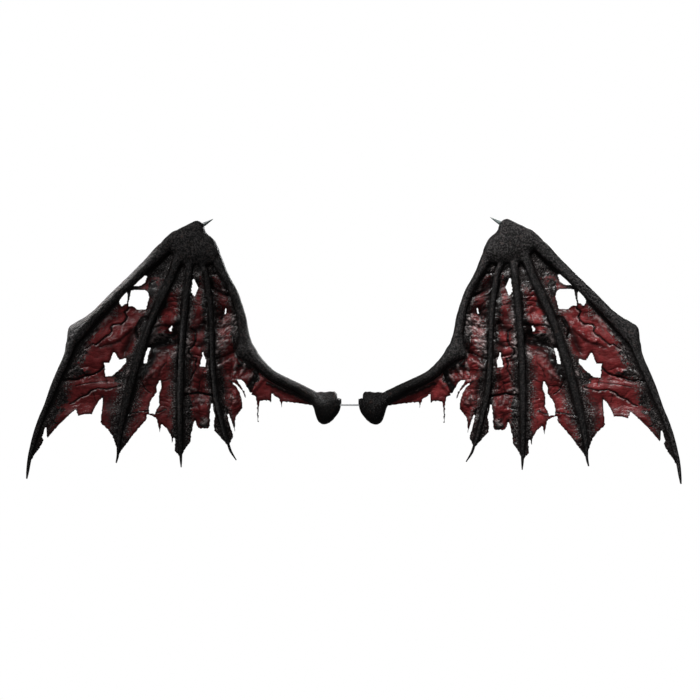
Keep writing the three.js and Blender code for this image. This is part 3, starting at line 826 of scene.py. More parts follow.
# %% Third panel
THIRD_PANEL = {
    "bones": ("finger_3", "finger_4"),
    "folds": [
        (358, 360, 0), (290, 292, 0), (236, 226, 4), (186, 172, -4), (142, 150, 5),
        (104, 104, -2), (74, 66, 4), (24, 20, -5), (-8, -14, 3), (-60, -58, 0), (-132, -108, 0),
    ],
    "edge": [
        (395, -130, 3), (374, -89, 0), (373, -70, 0), (364, -33, 0), (361, -50, -2),
        (351, -57, 0), (338, -57, -2), (330, -50, 0), (325, 11, 0), (316, -28, 0), (320, -38, 0),
        (320, -61, 0), (284, -101, 0),
    ],
    "tears": [
        [(368, 295, 0), (358, 272, 0), (365, 252, 0), (373, 262, 0)],
        [(345, 123, 0), (337, 99, 1), (338, 87, 0), (352, 89, 0)],
    ],
    "creases": [
        (3.0, 2.6, 0.97, [(372, 176), (364, 168), (362, 150), (367, 137), (376, 129), (378, 120)]),
        (2.4, 2.2, 0.97, [(378, 120), (369, 109), (359, 107), (363, 94), (360, 84), (367, 71)]),
        (1.6, 1.5, 1, [(367, 71), (372, 58)]),
        (5.0, 3.2, 0.97, [(391, 24), (382, 22), (359, 27), (344, 24), (322, 20)]),
        (-3.5, 3.5, -0.9, [(386, 36), (376, 38), (364, 33)]),
        (-3.0, 3.5, -0.8, [(374, 208), (368, 200), (372, 192)]),
        (-3.0, 3.5, -0.7, [(380, 150), (377, 142)]),
        (1.5, 1.3, 0.8, [(353, 54), (356, 31)]),
        (-1.5, 9.0, 0.1, [(351, 8), (348, -24)]),
        (4.0, 9.0, 0.8, [(344, 190), (352, 180), (364, 172)]),
        (0, 7.0, 0.7, [(340, 146), (352, 136)]),
    ],
    "burnt": [
        (380, -14, 12, 46), (384, -62, 16, 44), (344, -50, 12, 9), (362, 318, 22, 42),
        (338, 232, 15, 54), (333, 168, 10, 34), (384, 60, 8, 30),
    ],
    "spared": [],
    "scuffed": [(343, -40, 10, 10), (376, 33, 14, 7), (373, 205, 8, 20), (379, 140, 9, 34)],
    "wrinkled": 1.15,
    "fringe": 1,
}
print("third panel:", len(THIRD_PANEL["creases"]), "creases")

# %% Arm panel
ARM_PANEL = {
    "bones": ("finger_4", "arm"),
    "folds": [
        (360, 350, 0), (312, 284, 2), (288, 252, -6), (262, 228, 5), (204, 206, -4),
        (160, 168, 4), (120, 128, -2), (92, 104, 6), (72, 80, -5), (46, 60, 4), (6, 20, 6),
        (-40, -20, 4), (-98, -60, 0),
    ],
    "edge": [
        (285, -96, 0), (276, -75, 0), (283.5, -45, 0), (290.5, -10, 0), (278, -41, 0),
        (271.5, -70, 2), (268, -28, 0), (253, -9, 2), (255, 14, 5), (283, 55, 2), (255, 33, 0),
        (243, 8, 0), (248, 29, 0), (266, 57, 3), (250, 52, 0), (237, 28, 2), (220, 21, 0),
    ],
    "tears": [
        [(293.5, 226, 0), (292, 225, 0), (297, 208, 0), (298.5, 208, 0)],
        [(299.2, 212, 0), (298, 211, 0), (304, 199, 0), (305.2, 200, 0)],
    ],
    "creases": [
        (-3.0, 3.0, -1, [(291, 264), (296, 268), (304, 274)]),
        (6.0, 4.5, 0.9, [(289, 255), (306, 262), (324, 273), (332, 285)]),
        (-3.5, 4.0, 0, [(312, 257), (298, 250), (286, 243)]),
        (5.0, 5.0, 0.3, [(312, 222), (296, 216), (280, 214)]),
        (-4.0, 5.0, 0, [(306, 190), (295, 192), (279, 199)]),
        (-3.5, 4.0, -1, [(294, 146), (299, 136), (307, 127), (314, 122)]),
        (-4.0, 4.0, -0.5, [(280, 105), (292, 98), (307, 88)]),
        (-2.5, 2.5, -1, [(267, 207), (276, 197), (285, 190)]),
        (-2.5, 2.5, -1, [(270, 191), (278, 183), (286, 175)]),
        (-2.5, 2.5, -1, [(267, 176), (275, 167)]),
        (-2.5, 2.5, -1, [(282, 209), (291, 200), (301, 195)]),
        (-3.0, 3.0, -0.8, [(297, 189), (291, 177), (295, 164)]),
        (4.5, 4.0, 0.6, [(318, 104), (296, 112), (276, 120)]),
        (5.0, 9.0, 0.97, [(205, 90), (218, 70), (228, 52), (238, 36)]),
        (-4.0, 3.2, -1, [(247, 92), (251, 82), (259, 67)]),
        (-4.0, 3.2, -1, [(268, 96), (271, 80), (274, 65)]),
        (-2.5, 2.5, -0.8, [(231, 70), (238, 58)]),
        (-5.0, 7.0, -0.5, [(268, 22), (270, 6)]),
        (6.0, 8.0, 0.2, [(300, 50), (294, 10), (296, -20)]),
        (4.0, 7.0, 0.75, [(310, 207), (298, 214)]),
        (4.0, 7.0, 0.6, [(282, 120), (304, 100)]),
        (0, 6.0, 0.6, [(268, 140), (276, 122)]),
    ],
    "burnt": [
        (303, 40, 8, 32), (244, 92, 24, 10), (219, 68, 12, 28), (312, 0, 9, 60),
        (330, 316, 24, 26), (266, 176, 16, 52),
    ],
    "spared": [],
    "scuffed": [(284, 190, 22, 26), (300, 146, 15, 30), (279, 14, 8, 12)],
    "wrinkled": 1.3,
    "fringe": 1,
}
print("arm panel:", len(ARM_PANEL["creases"]), "creases")

# %% Root panel
ROOT_PANEL = {
    "bones": ("seam", "arm"),
    "folds": [
        (91, 90, 0), (70, 70, 1), (50, 46, 3), (28, 22, 1), (6, 4, 2), (-46, -46, 0),
    ],
    "edge": [
        (240, 24, 0), (222, 19, 0), (220.5, 6, 0), (219.2, -14, 0), (218.6, -42, 0),
        (216.4, -42, 0), (215.8, -14, 0), (214, 6, 2), (191, 8, 0), (187, 4, 0), (184, 27, -2),
        (167, 14, 0), (161, -8, 0), (158, 7, 0), (60, -4, 0),
    ],
    "tears": [],
    "creases": [
        (-4.0, 5.0, -0.2, [(204, 60), (217, 46), (228, 33)]),
        (-3.0, 3.0, 0.8, [(100, 12), (157, 33), (195, 51)]),
        (0, 18.0, 0.06, [(96, 2), (140, 18), (172, 28)]),
    ],
    "burnt": [(222, 66, 10, 22)],
    "spared": [],
    "scuffed": [],
    "wrinkled": 0.4,
    "fringe": 0.35,
}
print("root panel:", len(ROOT_PANEL["creases"]), "creases")

# %% All panels
PANELS = {
    "outer_panel": OUTER_PANEL,
    "second_panel": SECOND_PANEL,
    "third_panel": THIRD_PANEL,
    "arm_panel": ARM_PANEL,
    "root_panel": ROOT_PANEL,
}
print("tears:", {name: len(panel["tears"]) for name, panel in PANELS.items()})

# %% [markdown]
# ## The skin: cutting the panels out
#
# A torn outline does not fit a grid that runs from bone to bone. Instead every point of an
# even square grid gets one number: how far inside the panel it lies, measured from the
# nearest bone, tear or edge. Points that lie outside are dropped, the last row of points is
# pulled exactly on to the outline, and what is left is the panel. A little noise in that
# distance makes the tears ragged.

# %% Torn lines
BOW_STEPS = 7


def bowed(corners):
    """A line through torn corners. A stretch with a bow is a parabola that stands off the
    straight line by the bow in its middle, upwards where the bow is positive."""
    corners = np.array(corners, float)
    start, end = corners[:-1, :2], corners[1:, :2]
    run = end - start
    across = np.stack([-run[:, 1], run[:, 0]], axis=1)
    across *= np.where(across[:, 1:] < 0, -1, 1) / np.linalg.norm(run, axis=1, keepdims=True)
    t = np.linspace(0, 1, BOW_STEPS, endpoint=False)[None, :, None]
    lift = 4 * t * (1 - t) * corners[:-1, 2][:, None, None] * across[:, None]
    line = start[:, None] + t * run[:, None] + lift
    return np.concatenate([line.reshape(-1, 2), corners[-1:, :2]])


def distances(points, line):
    """From every point to every straight piece of a line: the distance, the share of the
    piece at which the nearest place lies, and the step from that place to the point."""
    step = np.diff(line, axis=0)
    gap = points[:, None] - line[:-1]
    share = np.clip((gap * step).sum(2) / np.maximum((step**2).sum(1), 1e-9), 0, 1)
    gap = gap - share[..., None] * step
    return np.hypot(gap[..., 0], gap[..., 1]), share, gap


def within(points, outline):
    """True for points inside a closed outline: a level line from the point outwards crosses
    the outline an odd number of times."""
    start, end = outline, np.roll(outline, -1, axis=0)
    spans = (start[:, 1] > points[:, 1:]) != (end[:, 1] > points[:, 1:])
    rise = np.where(end[:, 1] == start[:, 1], 1e-9, end[:, 1] - start[:, 1])
    meets = start[:, 0] + (points[:, 1:] - start[:, 1]) / rise * (end[:, 0] - start[:, 0])
    return (spans & (points[:, :1] < meets)).sum(1) % 2 == 1


def outside_of(points, outline):
    """Distance to a closed outline, positive outside it and negative inside."""
    closed = np.concatenate([outline, outline[:1]])
    apart = distances(points, closed)[0].min(1)
    return np.where(within(points, outline), -apart, apart)


tear = bowed([*OUTER_PANEL["tears"][2], OUTER_PANEL["tears"][2][0]])[:-1]
probe = outside_of(np.array([[490.0, 245.0]]), tear)
print("out 490 and up 245 lies", round(float(-probe[0]), 1), "mm inside a tear")

# %% Bones beside the skin
def beside_bone(points, name):
    """Distance to the side of a bone, whose half width changes along its line, and how far
    along the bone the nearest place is."""
    line = smooth_line(BONES[name], 10)
    apart, share, _ = distances(points, line[:, :2])
    gap = apart - line[:-1, 2] - share * np.diff(line[:, 2])
    rows, near = np.arange(len(points)), gap.argmin(1)
    lengths = np.hypot(*np.diff(line[:, :2], axis=0).T)
    along = (np.cumsum(lengths) - lengths)[near] + share[rows, near] * lengths[near]
    return gap[rows, near], along


def nearest_bone(panel, points):
    """Distance to the nearest bone of the panel, and the place along that bone. The second
    bone's places are counted from far on, so that the two sides do not repeat each other."""
    names = [name for name in panel["bones"] if name != "seam"]
    gaps, places = np.array([beside_bone(points, name) for name in names]).transpose(1, 0, 2)
    which, rows = gaps.argmin(0), np.arange(len(points))
    return gaps[which, rows], places[which, rows] + 1000 * which


def rail(name):
    """A bone's line, or the seam, as heights in rising order and how far out it is there."""
    line = np.array(SEAM, float) if name == "seam" else smooth_line(BONES[name], 5)
    order = np.argsort(line[:, 1])
    return line[order, 1], line[order, 0]


def rails_at(panel, up):
    """How far out the panel's outer and inner rails are at given heights. Below the top of
    the seam, the inner rail of the arm's panel is the seam."""
    outer, inner = (np.interp(up, *rail(name)) for name in panel["bones"])
    if "arm" in panel["bones"]:
        (top_out, top_up), (low_out, low_up) = SEAM
        seam = top_out + (up - top_up) * (low_out - top_out) / (low_up - top_up)
        if panel["bones"][0] == "seam":
            outer = seam
        else:
            inner = np.where(up > top_up, inner, seam)
    return outer, inner


outer, inner = rails_at(OUTER_PANEL, np.array([100.0]))
print("the outer panel is", round(float((outer - inner)[0])), "mm wide at up 100")

# %% How far inside the panel a point lies
BONE_BITE = 2.5
SEAM_LAP = 1.2
TOP_OF_SKIN = 372
RAG = 0.8
EDGE_REACH = 150


def lower_outline(edge):
    """The torn edge, closed far below, so that its inside is what was torn away."""
    line = bowed(edge)
    floor = min(line[0, 1], line[-1, 1]) - EDGE_REACH
    (first_out, first_up), (last_out, last_up) = line[0], line[-1]
    far = [
        (last_out - EDGE_REACH, last_up),
        (last_out - EDGE_REACH, floor),
        (first_out + EDGE_REACH, floor),
        (first_out + EDGE_REACH, first_up),
    ]
    return np.concatenate([line, far])


def torn_distance(panel, points):
    """Distance to the nearest torn edge, positive on the skin, with ragged noise."""
    outlines = [lower_outline(panel["edge"])]
    outlines += [bowed([*tear, tear[0]])[:-1] for tear in panel["tears"]]
    clear = np.min([outside_of(points, outline) for outline in outlines], axis=0)
    return clear + RAG * noise(points, 4.5, 21) + 0.5 * RAG * noise(points, 2.2, 22)


def inside_distance(panel, points):
    """How far inside the panel a point lies, the least of all its limits."""
    outer, inner = rails_at(panel, points[:, 1])
    lap = SEAM_LAP if "arm" in panel["bones"] else 0
    limits = [
        torn_distance(panel, points),
        nearest_bone(panel, points)[0] + BONE_BITE,
        outer - points[:, 0] + (lap if panel["bones"][0] == "seam" else 0),
        points[:, 0] - inner + lap,
        TOP_OF_SKIN - points[:, 1],
    ]
    return np.min(limits, axis=0)


probe = inside_distance(PANELS["outer_panel"], np.array([[570.0, 110.0]]))
print("out 570 and up 110 lies", round(float(probe[0]), 1), "mm inside the outer panel")

# %% The grid of a panel
GRID = 1.5
KEEP_SHARE = 0.6
MARGIN_UP, MARGIN_OUT = 4, 6


def grown(seed, allowed):
    """The cells that can be reached from a seed by steps to a neighbour that is allowed."""
    reached = seed & allowed
    count = -1
    while reached.sum() != count:
        count = reached.sum()
        wider = reached.copy()
        wider[1:] |= reached[:-1]
        wider[:-1] |= reached[1:]
        wider[:, 1:] |= reached[:, :-1]
        wider[:, :-1] |= reached[:, 1:]
        reached = wider & allowed
    return reached


def panel_grid(panel):
    """The points of a panel as out and up, and its four-sided faces. Cells with a corner
    outside are dropped, loose scraps too, and corners just outside are moved on to the
    outline along the slope of the inside distance."""
    heights = np.array([row[1] for row in panel["edge"]])
    low = heights.min() - MARGIN_UP
    high = min(TOP_OF_SKIN, max(panel["folds"][0][:2])) + MARGIN_UP
    span = np.concatenate(rails_at(panel, np.linspace(low, high, 60)))
    out = np.arange(span.min() - MARGIN_OUT, span.max() + MARGIN_OUT, GRID)
    up = np.arange(low, high, GRID)
    place = np.stack(np.meshgrid(out, up, indexing="ij"), axis=-1)
    inside = inside_distance(panel, place.reshape(-1, 2)).reshape(place.shape[:2])
    slope = np.stack(np.gradient(inside, GRID), axis=-1)
    kept = inside > -KEEP_SHARE * GRID
    cell = kept[:-1, :-1] & kept[1:, :-1] & kept[1:, 1:] & kept[:-1, 1:]
    best = np.unravel_index(np.argmax(np.where(cell, inside[:-1, :-1], -1)), cell.shape)
    seed = np.zeros_like(cell)
    seed[best] = True
    i, j = np.nonzero(grown(seed, cell))
    columns = place.shape[1]
    first = i * columns + j
    corners = np.stack([first, first + columns, first + columns + 1, first + 1], axis=1)
    used, faces = np.unique(corners, return_inverse=True)
    points = place.reshape(-1, 2)[used]
    short = np.minimum(inside.reshape(-1)[used], 0)[:, None]
    slope = slope.reshape(-1, 2)[used]
    points = points - short * slope / np.maximum((slope**2).sum(1, keepdims=True), 0.25)
    return points, faces.reshape(-1, 4)


print("the root panel has", len(panel_grid(PANELS["root_panel"])[0]), "points")

# %% [markdown]
# ## The skin: folds, wrinkles and cracks
#
# Latex skin that dried while it hung has relief at every scale. From large to small it sags
# between its bones, hangs in folds, dents, puffs up in level pillows with sharp valleys
# between them, gathers into short ribs where it meets a bone, cracks, and curls at its torn
# edges. Each of these is one function of place, and they are added up.

# %% Folds
def fold_place(panel, points):
    """The share across from the outer to the inner rail, how far the folds stand out there,
    and a height that stays the same along a fold. Between two folds the standing out is
    eased by the smooth step."""
    out, up = points.T
    outer, inner = rails_at(panel, up)
    across = np.clip((outer - out) / np.maximum(outer - inner, 1), 0, 1)
    start, end, rise = np.array(panel["folds"], float).T
    lines = start + (end - start) * across[:, None]
    k = np.clip((lines > up[:, None]).sum(1) - 1, 0, len(start) - 2)
    rows = np.arange(len(points))
    share = np.clip((lines[rows, k] - up) / (lines[rows, k] - lines[rows, k + 1]), 0, 1)
    stands = rise[k] + (rise[k + 1] - rise[k]) * smoothstep(share, 0, 1)
    middle = (start + end) / 2
    return across, stands, middle[k] + (middle[k + 1] - middle[k]) * share


stands = fold_place(OUTER_PANEL, np.array([[570.0, 150.0]]))[1]
print("the folds stand out by", round(float(stands[0]), 1), "mm at out 570 and up 150")

# %% Creases
CRACK = 1
# Down and towards the body
LIP_SIDE = np.array([-0.55, -0.83])


def crease_relief(panel, points):
    """Grooves and ridges along the creases, the painted shade that darkens each groove, and the painted
    pale highlights, as if the skin were rubbed. Across a crease the depth falls off as a bell curve, and so
    does the painted shade, with steeper sides in the darkest. A crack, whose blackness is 1, has a raised
    lip with a painted pale highlight on the side that faces down and to the body."""
    lift, crease_shade, pale_highlight = np.zeros((3, len(points)))
    rows = np.arange(len(points))
    sway = np.stack([noise(points, 7, 31), noise(points, 7, 32)], axis=1)
    broken = smoothstep(noise(points, 6, 33), -0.6, 0.3)
    for depth, width, dark, line in panel["creases"]:
        wander = points + (1.0 if depth > 0 else 2.5) * sway
        apart, _, step = distances(wander, np.array(line, float))
        near = apart.argmin(1)
        apart, step = apart[rows, near], step[rows, near]
        below = smoothstep(step @ LIP_SIDE / np.maximum(apart, 0.1), -0.1, 0.5)
        apart = apart / width
        lift -= depth * np.exp(-(apart**2))
        hard = 4 if dark > 0.95 else 2
        # Painted shade along the crease, darkest in its middle
        crease_shade = np.maximum(crease_shade, dark * np.exp(-((apart / 1.15) ** hard)))
        if dark == CRACK:
            lip = below * np.exp(-((apart - 1.6) ** 2) / 0.14)
            lift += 0.3 * depth * lip
            # A painted pale highlight on the crack's lip
            pale_highlight = np.maximum(pale_highlight, lip * broken)
        if dark < 0:
            # A painted pale highlight along a ridge
            pale_highlight = np.maximum(pale_highlight, -0.7 * dark * np.exp(-((1.4 * apart) ** 2)) * broken)
    return lift, crease_shade, pale_highlight


depth = -crease_relief(OUTER_PANEL, np.array([[525.0, 213.0]]))[0]
print("the long crack is", round(float(depth[0]), 1), "mm deep at out 525 and up 213")

# %% Wrinkles
SAG = 8
DEEPEST_DENT, EDGE_CURL = 3.5, 3.0
# Columns: height, size of a pillow across and up, seed
PILLOWS = [(5.5, (40, 17), 43), (3.0, (24, 11), 141), (1.4, (15, 7), 151)]


def comb_teeth(bone, along):
    """Short ribs square to a bone, like the teeth of a comb: crests of noise whose cells are
    5 mm along the bone and four times as long away from it."""
    return crests(np.stack([along, bone / 4], axis=1), 5, 55)


def skin_relief(panel, points, torn, bone, teeth):
    """How far the skin stands out to the front, without its creases and its char, and how much painted
    shade lies in the valleys between its pillows."""
    across, stands, level = fold_place(panel, points)
    folded = 4 * across * (1 - across) * (stands - SAG)
    drift = 9 * noise(points, 34, 41) + 4 * noise(points, 15, 42)
    lie = np.stack([points[:, 0], level + drift], axis=1)
    strength = panel["wrinkled"]
    valleys = np.zeros(len(points))
    puffed = np.zeros(len(points))
    for height, cell, seed in PILLOWS:
        where = strength * smoothstep(noise(points, 3 * cell[0], seed + 1), -0.9, 0.4)
        pillow = pillows(lie, cell, seed)
        puffed += height * where * pillow
        # Painted shade in the sharp valleys between pillows
        valleys = np.maximum(valleys, where * (1 - smoothstep(pillow, 0.03, 0.45)))
    dents = min(3 * strength**2, DEEPEST_DENT) * rough(points, 38, 46, 2)
    dents = dents + 0.5 * strength * rough(points, 9, 48)
    ribs = 0.5 * teeth * np.exp(-((np.maximum(bone, 0) / 15) ** 2))
    curl = EDGE_CURL * noise(points, 30, 52) * np.exp(-np.maximum(torn, 0) / 5)
    return folded + puffed + dents + ribs + curl, np.clip(valleys, 0, 1)


print("pillows and a full sag add up to", SAG + sum(row[0] for row in PILLOWS), "mm")

# %% [markdown]
# ## The skin: where it is burnt, scuffed, and painted with light and shade
#
# The skin is charred to a black crust along every bone, widest low down on the fingers, and
# in a few patches. The crust ends in short teeth, as if flames had licked along the ribs.
# On the lips of the cracks, on pale ridges and on the sharpest crests a greyish pink highlight is painted,
# as if the paint had rubbed off. The char carries grey ash with painted glints, and painted shade darkens
# the cracks, the creases, the valleys between pillows and the sides of the bones.
# Each amount is a number for every point, and the material reads it.

# %% Char, scuffs and soot
# How dark a torn rim is with soot, the side of a bone with a painted contact shadow, and a valley between
# pillows with painted shade
RIM_SOOT, BONE_SHADE, VALLEY_SHADE = 0.35, 0.8, 0.42


def in_patches(patches, points, feather):
    """How far a point is within any of several oval patches with feathered borders."""
    amount = np.zeros(len(points))
    for out, up, wide, tall in patches:
        away = np.hypot((points[:, 0] - out) / wide, (points[:, 1] - up) / tall)
        amount = np.maximum(amount, 1 - smoothstep(away + 0.35 * feather, 0.55, 1.2))
    return amount


def char_amount(panel, points, bone):
    """How burnt the skin is, from 0 to 1: along the bones in a fringe of uneven width that
    leaves out the spared patches, in the burnt patches and near the palm."""
    feather = 0.8 * noise(points, (12, 6), 61) + 0.5 * noise(points, 4, 62)
    low = smoothstep(-points[:, 1], -180, 20)
    uneven = 1 + 0.25 * noise(points, 48, 63) + 0.3 * noise(points, 17, 64)
    fringe = panel["fringe"] * (17 + 6 * low) * np.maximum(uneven, 0.3)
    char = 1 - smoothstep(bone, -3, 1.7 * fringe)
    char = char * (1 - in_patches(panel["spared"], points, feather))
    near_palm = smoothstep(points[:, 1] + 16 * feather, 300, 345)
    return np.maximum.reduce([char, in_patches(panel["burnt"], points, feather), near_palm])


def ash_amount(points, bone, char):
    """How much grey ash with painted glints lies on the char: most in the fringes beside the bones and near
    the palm, in clouds of about 30 mm, and little in the glossy patches further away."""
    clouds = smoothstep(noise(points, 30, 75) + 0.4 * noise(points, 8, 76), -0.5, 0.7)
    beside = 0.06 + 0.94 * (1 - smoothstep(bone, 14, 36))
    outer = smoothstep(char, 0.05, 0.4) * (1 - 0.4 * smoothstep(char, 0.7, 1))
    outer = np.maximum(outer, 0.9 * smoothstep(points[:, 1], 255, 310))
    return 1.3 * outer * beside * (0.4 + 0.6 * clouds)


def crumples(panel, points):
    """The patches where the skin is rubbed and painted with a pale highlight, and sharp slanting wrinkles
    in them, both from 0 to 1. The wrinkles are crests of noise with cells of 14 by 4.4 mm, turned by about
    40 degrees."""
    patches = in_patches(panel["scuffed"], points, 0.6 * noise(points, (9, 5), 72))
    slanting = points @ np.array([[0.77, 0.64], [-0.64, 0.77]])
    return patches, patches * smoothstep(crests(slanting, (14, 4.4), 73), 0.56, 0.95)


def soot_amount(torn, bone, crease_shade, valleys):
    """How dark the skin is painted, from 0 to 1: the most of the painted shade in its cracks and creases,
    the soot at its torn rims, the painted shadow beside its bones and the painted shade in its valleys, as
    1 - (1 - most)^2, which darkens what is half black."""
    rim = np.maximum(1 - smoothstep(torn, 0.6, 2.6), RIM_SOOT * (1 - smoothstep(torn, 0, 12)))
    # A painted contact shadow beside the bones
    beside = BONE_SHADE * (1 - smoothstep(bone, 0, 8))
    return 1 - (1 - np.maximum.reduce([crease_shade, rim, beside, VALLEY_SHADE * valleys])) ** 2


print("burnt patches:", {name: len(panel["burnt"]) for name, panel in PANELS.items()})

# %% [markdown]
# ## The skin: the panels
#
# A panel's points take their *back* from the bowl, less what stands out to the front. Then Solidify gives
# it the two millimetres of a latex skin, thinner at the torn edges. The smallest rectangle round the panel,
# the size of the flat piece of latex that it was cut from, is worked out too.

# %% Sizes of a cut
def cut_rectangle(points):
    """Width and length of the smallest rectangle round points, found by turning them
    through half a turn in steps of one degree."""
    turn = np.radians(np.arange(0, 180))
    along = points @ np.stack([np.cos(turn), np.sin(turn)])
    aside = points @ np.stack([-np.sin(turn), np.cos(turn)])
    sizes = np.stack([np.ptp(along, axis=0), np.ptp(aside, axis=0)], axis=1)
    return np.sort(sizes[np.argmin(sizes.prod(1))])


def flat_area(points, faces):
    """Area of flat four-sided faces: half the cross product of their diagonals."""
    one = points[faces[:, 2]] - points[faces[:, 0]]
    two = points[faces[:, 3]] - points[faces[:, 1]]
    return np.abs(one[:, 0] * two[:, 1] - one[:, 1] * two[:, 0]).sum() / 2


square = np.array([[0.0, 0.0], [30.0, 0.0], [30.0, 20.0], [0.0, 20.0]])
print("a piece of 20 by 30 mm:", cut_rectangle(square), flat_area(square, np.array([[0, 1, 2, 3]])))

# %% The wall of a panel
SKIN_THICK, THIN_EDGE = 2.0, 0.4


def add_wall(piece, body):
    """Solidify on both sides of a sheet: the full thickness times each point's share of it,
    which is rounded to tenths."""
    group = piece.vertex_groups.new(name="body")
    tenths = np.round(body, 1)
    for share in np.unique(tenths):
        group.add(np.nonzero(tenths == share)[0].tolist(), float(share), "REPLACE")
    wall = piece.modifiers.new("latex wall", "SOLIDIFY")
    wall.thickness = SKIN_THICK * MM
    wall.offset = 0
    wall.vertex_group = "body"


print("the skin is", SKIN_THICK, "mm thick, and", SKIN_THICK * THIN_EDGE, "mm at a torn edge")

# %% Panels
CRUMPLE_HEIGHT = 2.5
BUBBLE_HEIGHTS = (1.4, 0.6)
# How strongly each kind of mark is painted with a pale highlight, as if rubbed
PALE_HIGHLIGHT, CRUMPLED_HIGHLIGHT, WORN_HIGHLIGHT = 1.7, 2.1, 0.22

for name, panel in PANELS.items():
    flat, faces = panel_grid(panel)
    torn = torn_distance(panel, flat)
    bone, along = nearest_bone(panel, flat)
    teeth = comb_teeth(bone, along)
    creased, crease_shade, pale_highlight = crease_relief(panel, flat)
    lift, valleys = skin_relief(panel, flat, torn, bone, teeth)
    worn_sheen, crumpled = crumples(panel, flat)
    lift = lift + creased + CRUMPLE_HEIGHT * crumpled
    char = char_amount(panel, flat, bone)
    lift = lift * smoothstep(bone, -BONE_BITE, 5)
    bubbly = char * smoothstep(bone, 4, 16)
    large, small = BUBBLE_HEIGHTS
    lift = lift + bubbly * (large * noise(flat, 11, 66) + small * noise(flat, 6, 67))
    # Painted pale highlights on the lips of cracks, on pale ridges, on crumples and in scuffed patches
    rubbed_highlight = np.maximum.reduce([PALE_HIGHLIGHT * pale_highlight, CRUMPLED_HIGHLIGHT * crumpled, WORN_HIGHLIGHT * worn_sheen])
    points = np.stack([flat[:, 0], wing_back(*flat.T) - lift, flat[:, 1]], axis=1)
    body = THIN_EDGE + (1 - THIN_EDGE) * smoothstep(torn, 0, 6)
    # Ash with painted glints, scuffs with a painted pale highlight, and soot with painted shade go to the
    # material as attributes
    pieces = both_wings(
        name, "skin", points, faces.tolist(), "skin",
        char=char,
        ash=ash_amount(flat, bone, char) * (1 - smoothstep(crease_shade, 0.3, 0.8)),
        scuff=rubbed_highlight,
        soot=soot_amount(torn, bone, crease_shade, valleys),
        lie=np.stack([along, bone, np.zeros_like(bone)], axis=1) * MM,
    )
    size = cut_rectangle(flat) * MM
    for side, piece in pieces.items():
        add_wall(piece, body)

# %% [markdown]
# ## Materials
#
# Four finishes cover the wings. Every pattern is measured in millimetres: a noise texture
# with a scale of one over the cell's size in metres gives cells of that size. All of them
# read Object coordinates, which are the wing's own metres because each object sits at the
# origin, or the attributes that were worked out with the shape. A number that is the same
# all over a surface is set on the shader itself.

# %% Materials: shared steps
# The sockets of a Mix node for colours: how much of the upper colour lies on the lower one
SHARE, LOWER, UPPER = 0, 6, 7


def new_finish(name):
    """An empty node material: its tree, its shader and its Object coordinates."""
    material = bpy.data.materials.new(name)
    material.use_nodes = True
    tree = material.node_tree
    place = add_node(tree, "TexCoord").outputs["Object"]
    return material, tree, tree.nodes["Principled BSDF"], place


def per_mm(cell):
    """The scale of a texture whose cells are that many millimetres across."""
    return 1 / (cell * MM)


print("a grain of 4 mm has the scale", per_mm(4))

# %% [markdown]
# ### Charred hide
#
# The bones' latex is almost black, dry and satin. The raised grain has caught grey ash with a painted sheen
# where a bone faces the front or the back, and the sides are left black as painted shade. Where the latex
# blistered, a rusty brown shows. Near the body the hide is darker, without ash. The thin fingers carry less
# ash and sheen, which paints them darker, and are duller than the arm and the leading finger. The grain is
# drawn at 4 mm, a few times as coarse as real cast latex, because a finer one would not show at this
# distance.

# %% Charred hide
DARK_NEAR_BODY_TO, DARK_NEAR_BODY_FROM = 0.13, 0.23

hide, tree, shader, place = new_finish("charred latex hide")
grain = add_node(tree, "TexNoise", {"Vector": place, "Scale": per_mm(4), "Detail": 4.0, "Roughness": 0.8})
# Grey ash with a painted sheen on the raised grain where a bone faces front or back; the sides stay black
# as painted shade
ash = add_node(tree, "MapRange", {"Value": grain, "From Min": 0.47, "From Max": 0.59})
brushed = add_node(tree, "Attribute", attribute_name="brushed").outputs["Fac"]
ash_on_lit_faces = add_node(tree, "Math", {0: ash, 1: brushed}, operation="MULTIPLY")
ashy = add_node(
    tree, "Mix", {SHARE: ash_on_lit_faces, LOWER: linear("#070707"), UPPER: linear("#4b4848")}, data_type="RGBA"
)
# Darker towards the middle of the back, without ash
side = add_node(tree, "SeparateXYZ", {"Vector": place})
out = add_node(tree, "Math", {0: side.outputs["X"]}, operation="ABSOLUTE")
near_body = add_node(
    tree, "MapRange",
    {"Value": out, "From Min": DARK_NEAR_BODY_TO, "From Max": DARK_NEAR_BODY_FROM, "To Min": 0.97, "To Max": 0.0},
)
darker_near_body = add_node(
    tree, "Mix", {SHARE: near_body, LOWER: ashy, UPPER: linear("#070606")}, data_type="RGBA"
)
blotch = add_node(tree, "TexNoise", {"Vector": place, "Scale": per_mm(8), "Detail": 4.0, "Roughness": 0.7})
rust = add_node(tree, "MapRange", {"Value": blotch, "From Min": 0.57, "From Max": 0.74, "To Max": 0.5})
rusty = add_node(tree, "Mix", {SHARE: rust, LOWER: darker_near_body, UPPER: linear("#472d22")}, data_type="RGBA")
satin = add_node(
    tree, "MapRange", {"Value": grain, "From Min": 0.3, "From Max": 0.7, "To Min": 0.32, "To Max": 0.54}
)
dull = add_node(tree, "Attribute", attribute_name="dull").outputs["Fac"]
matt = add_node(tree, "Math", {0: satin, 1: dull}, operation="ADD")
bump = add_node(tree, "Bump", {"Height": grain, "Strength": 0.9, "Distance": 3.2 * MM})
set_inputs(shader, {"Base Color": rusty, "Roughness": matt, "Normal": bump})
set_inputs(shader, {"IOR": 1.45, "Specular IOR Level": 0.2})
print(hide.name, "with", len(tree.nodes), "nodes")

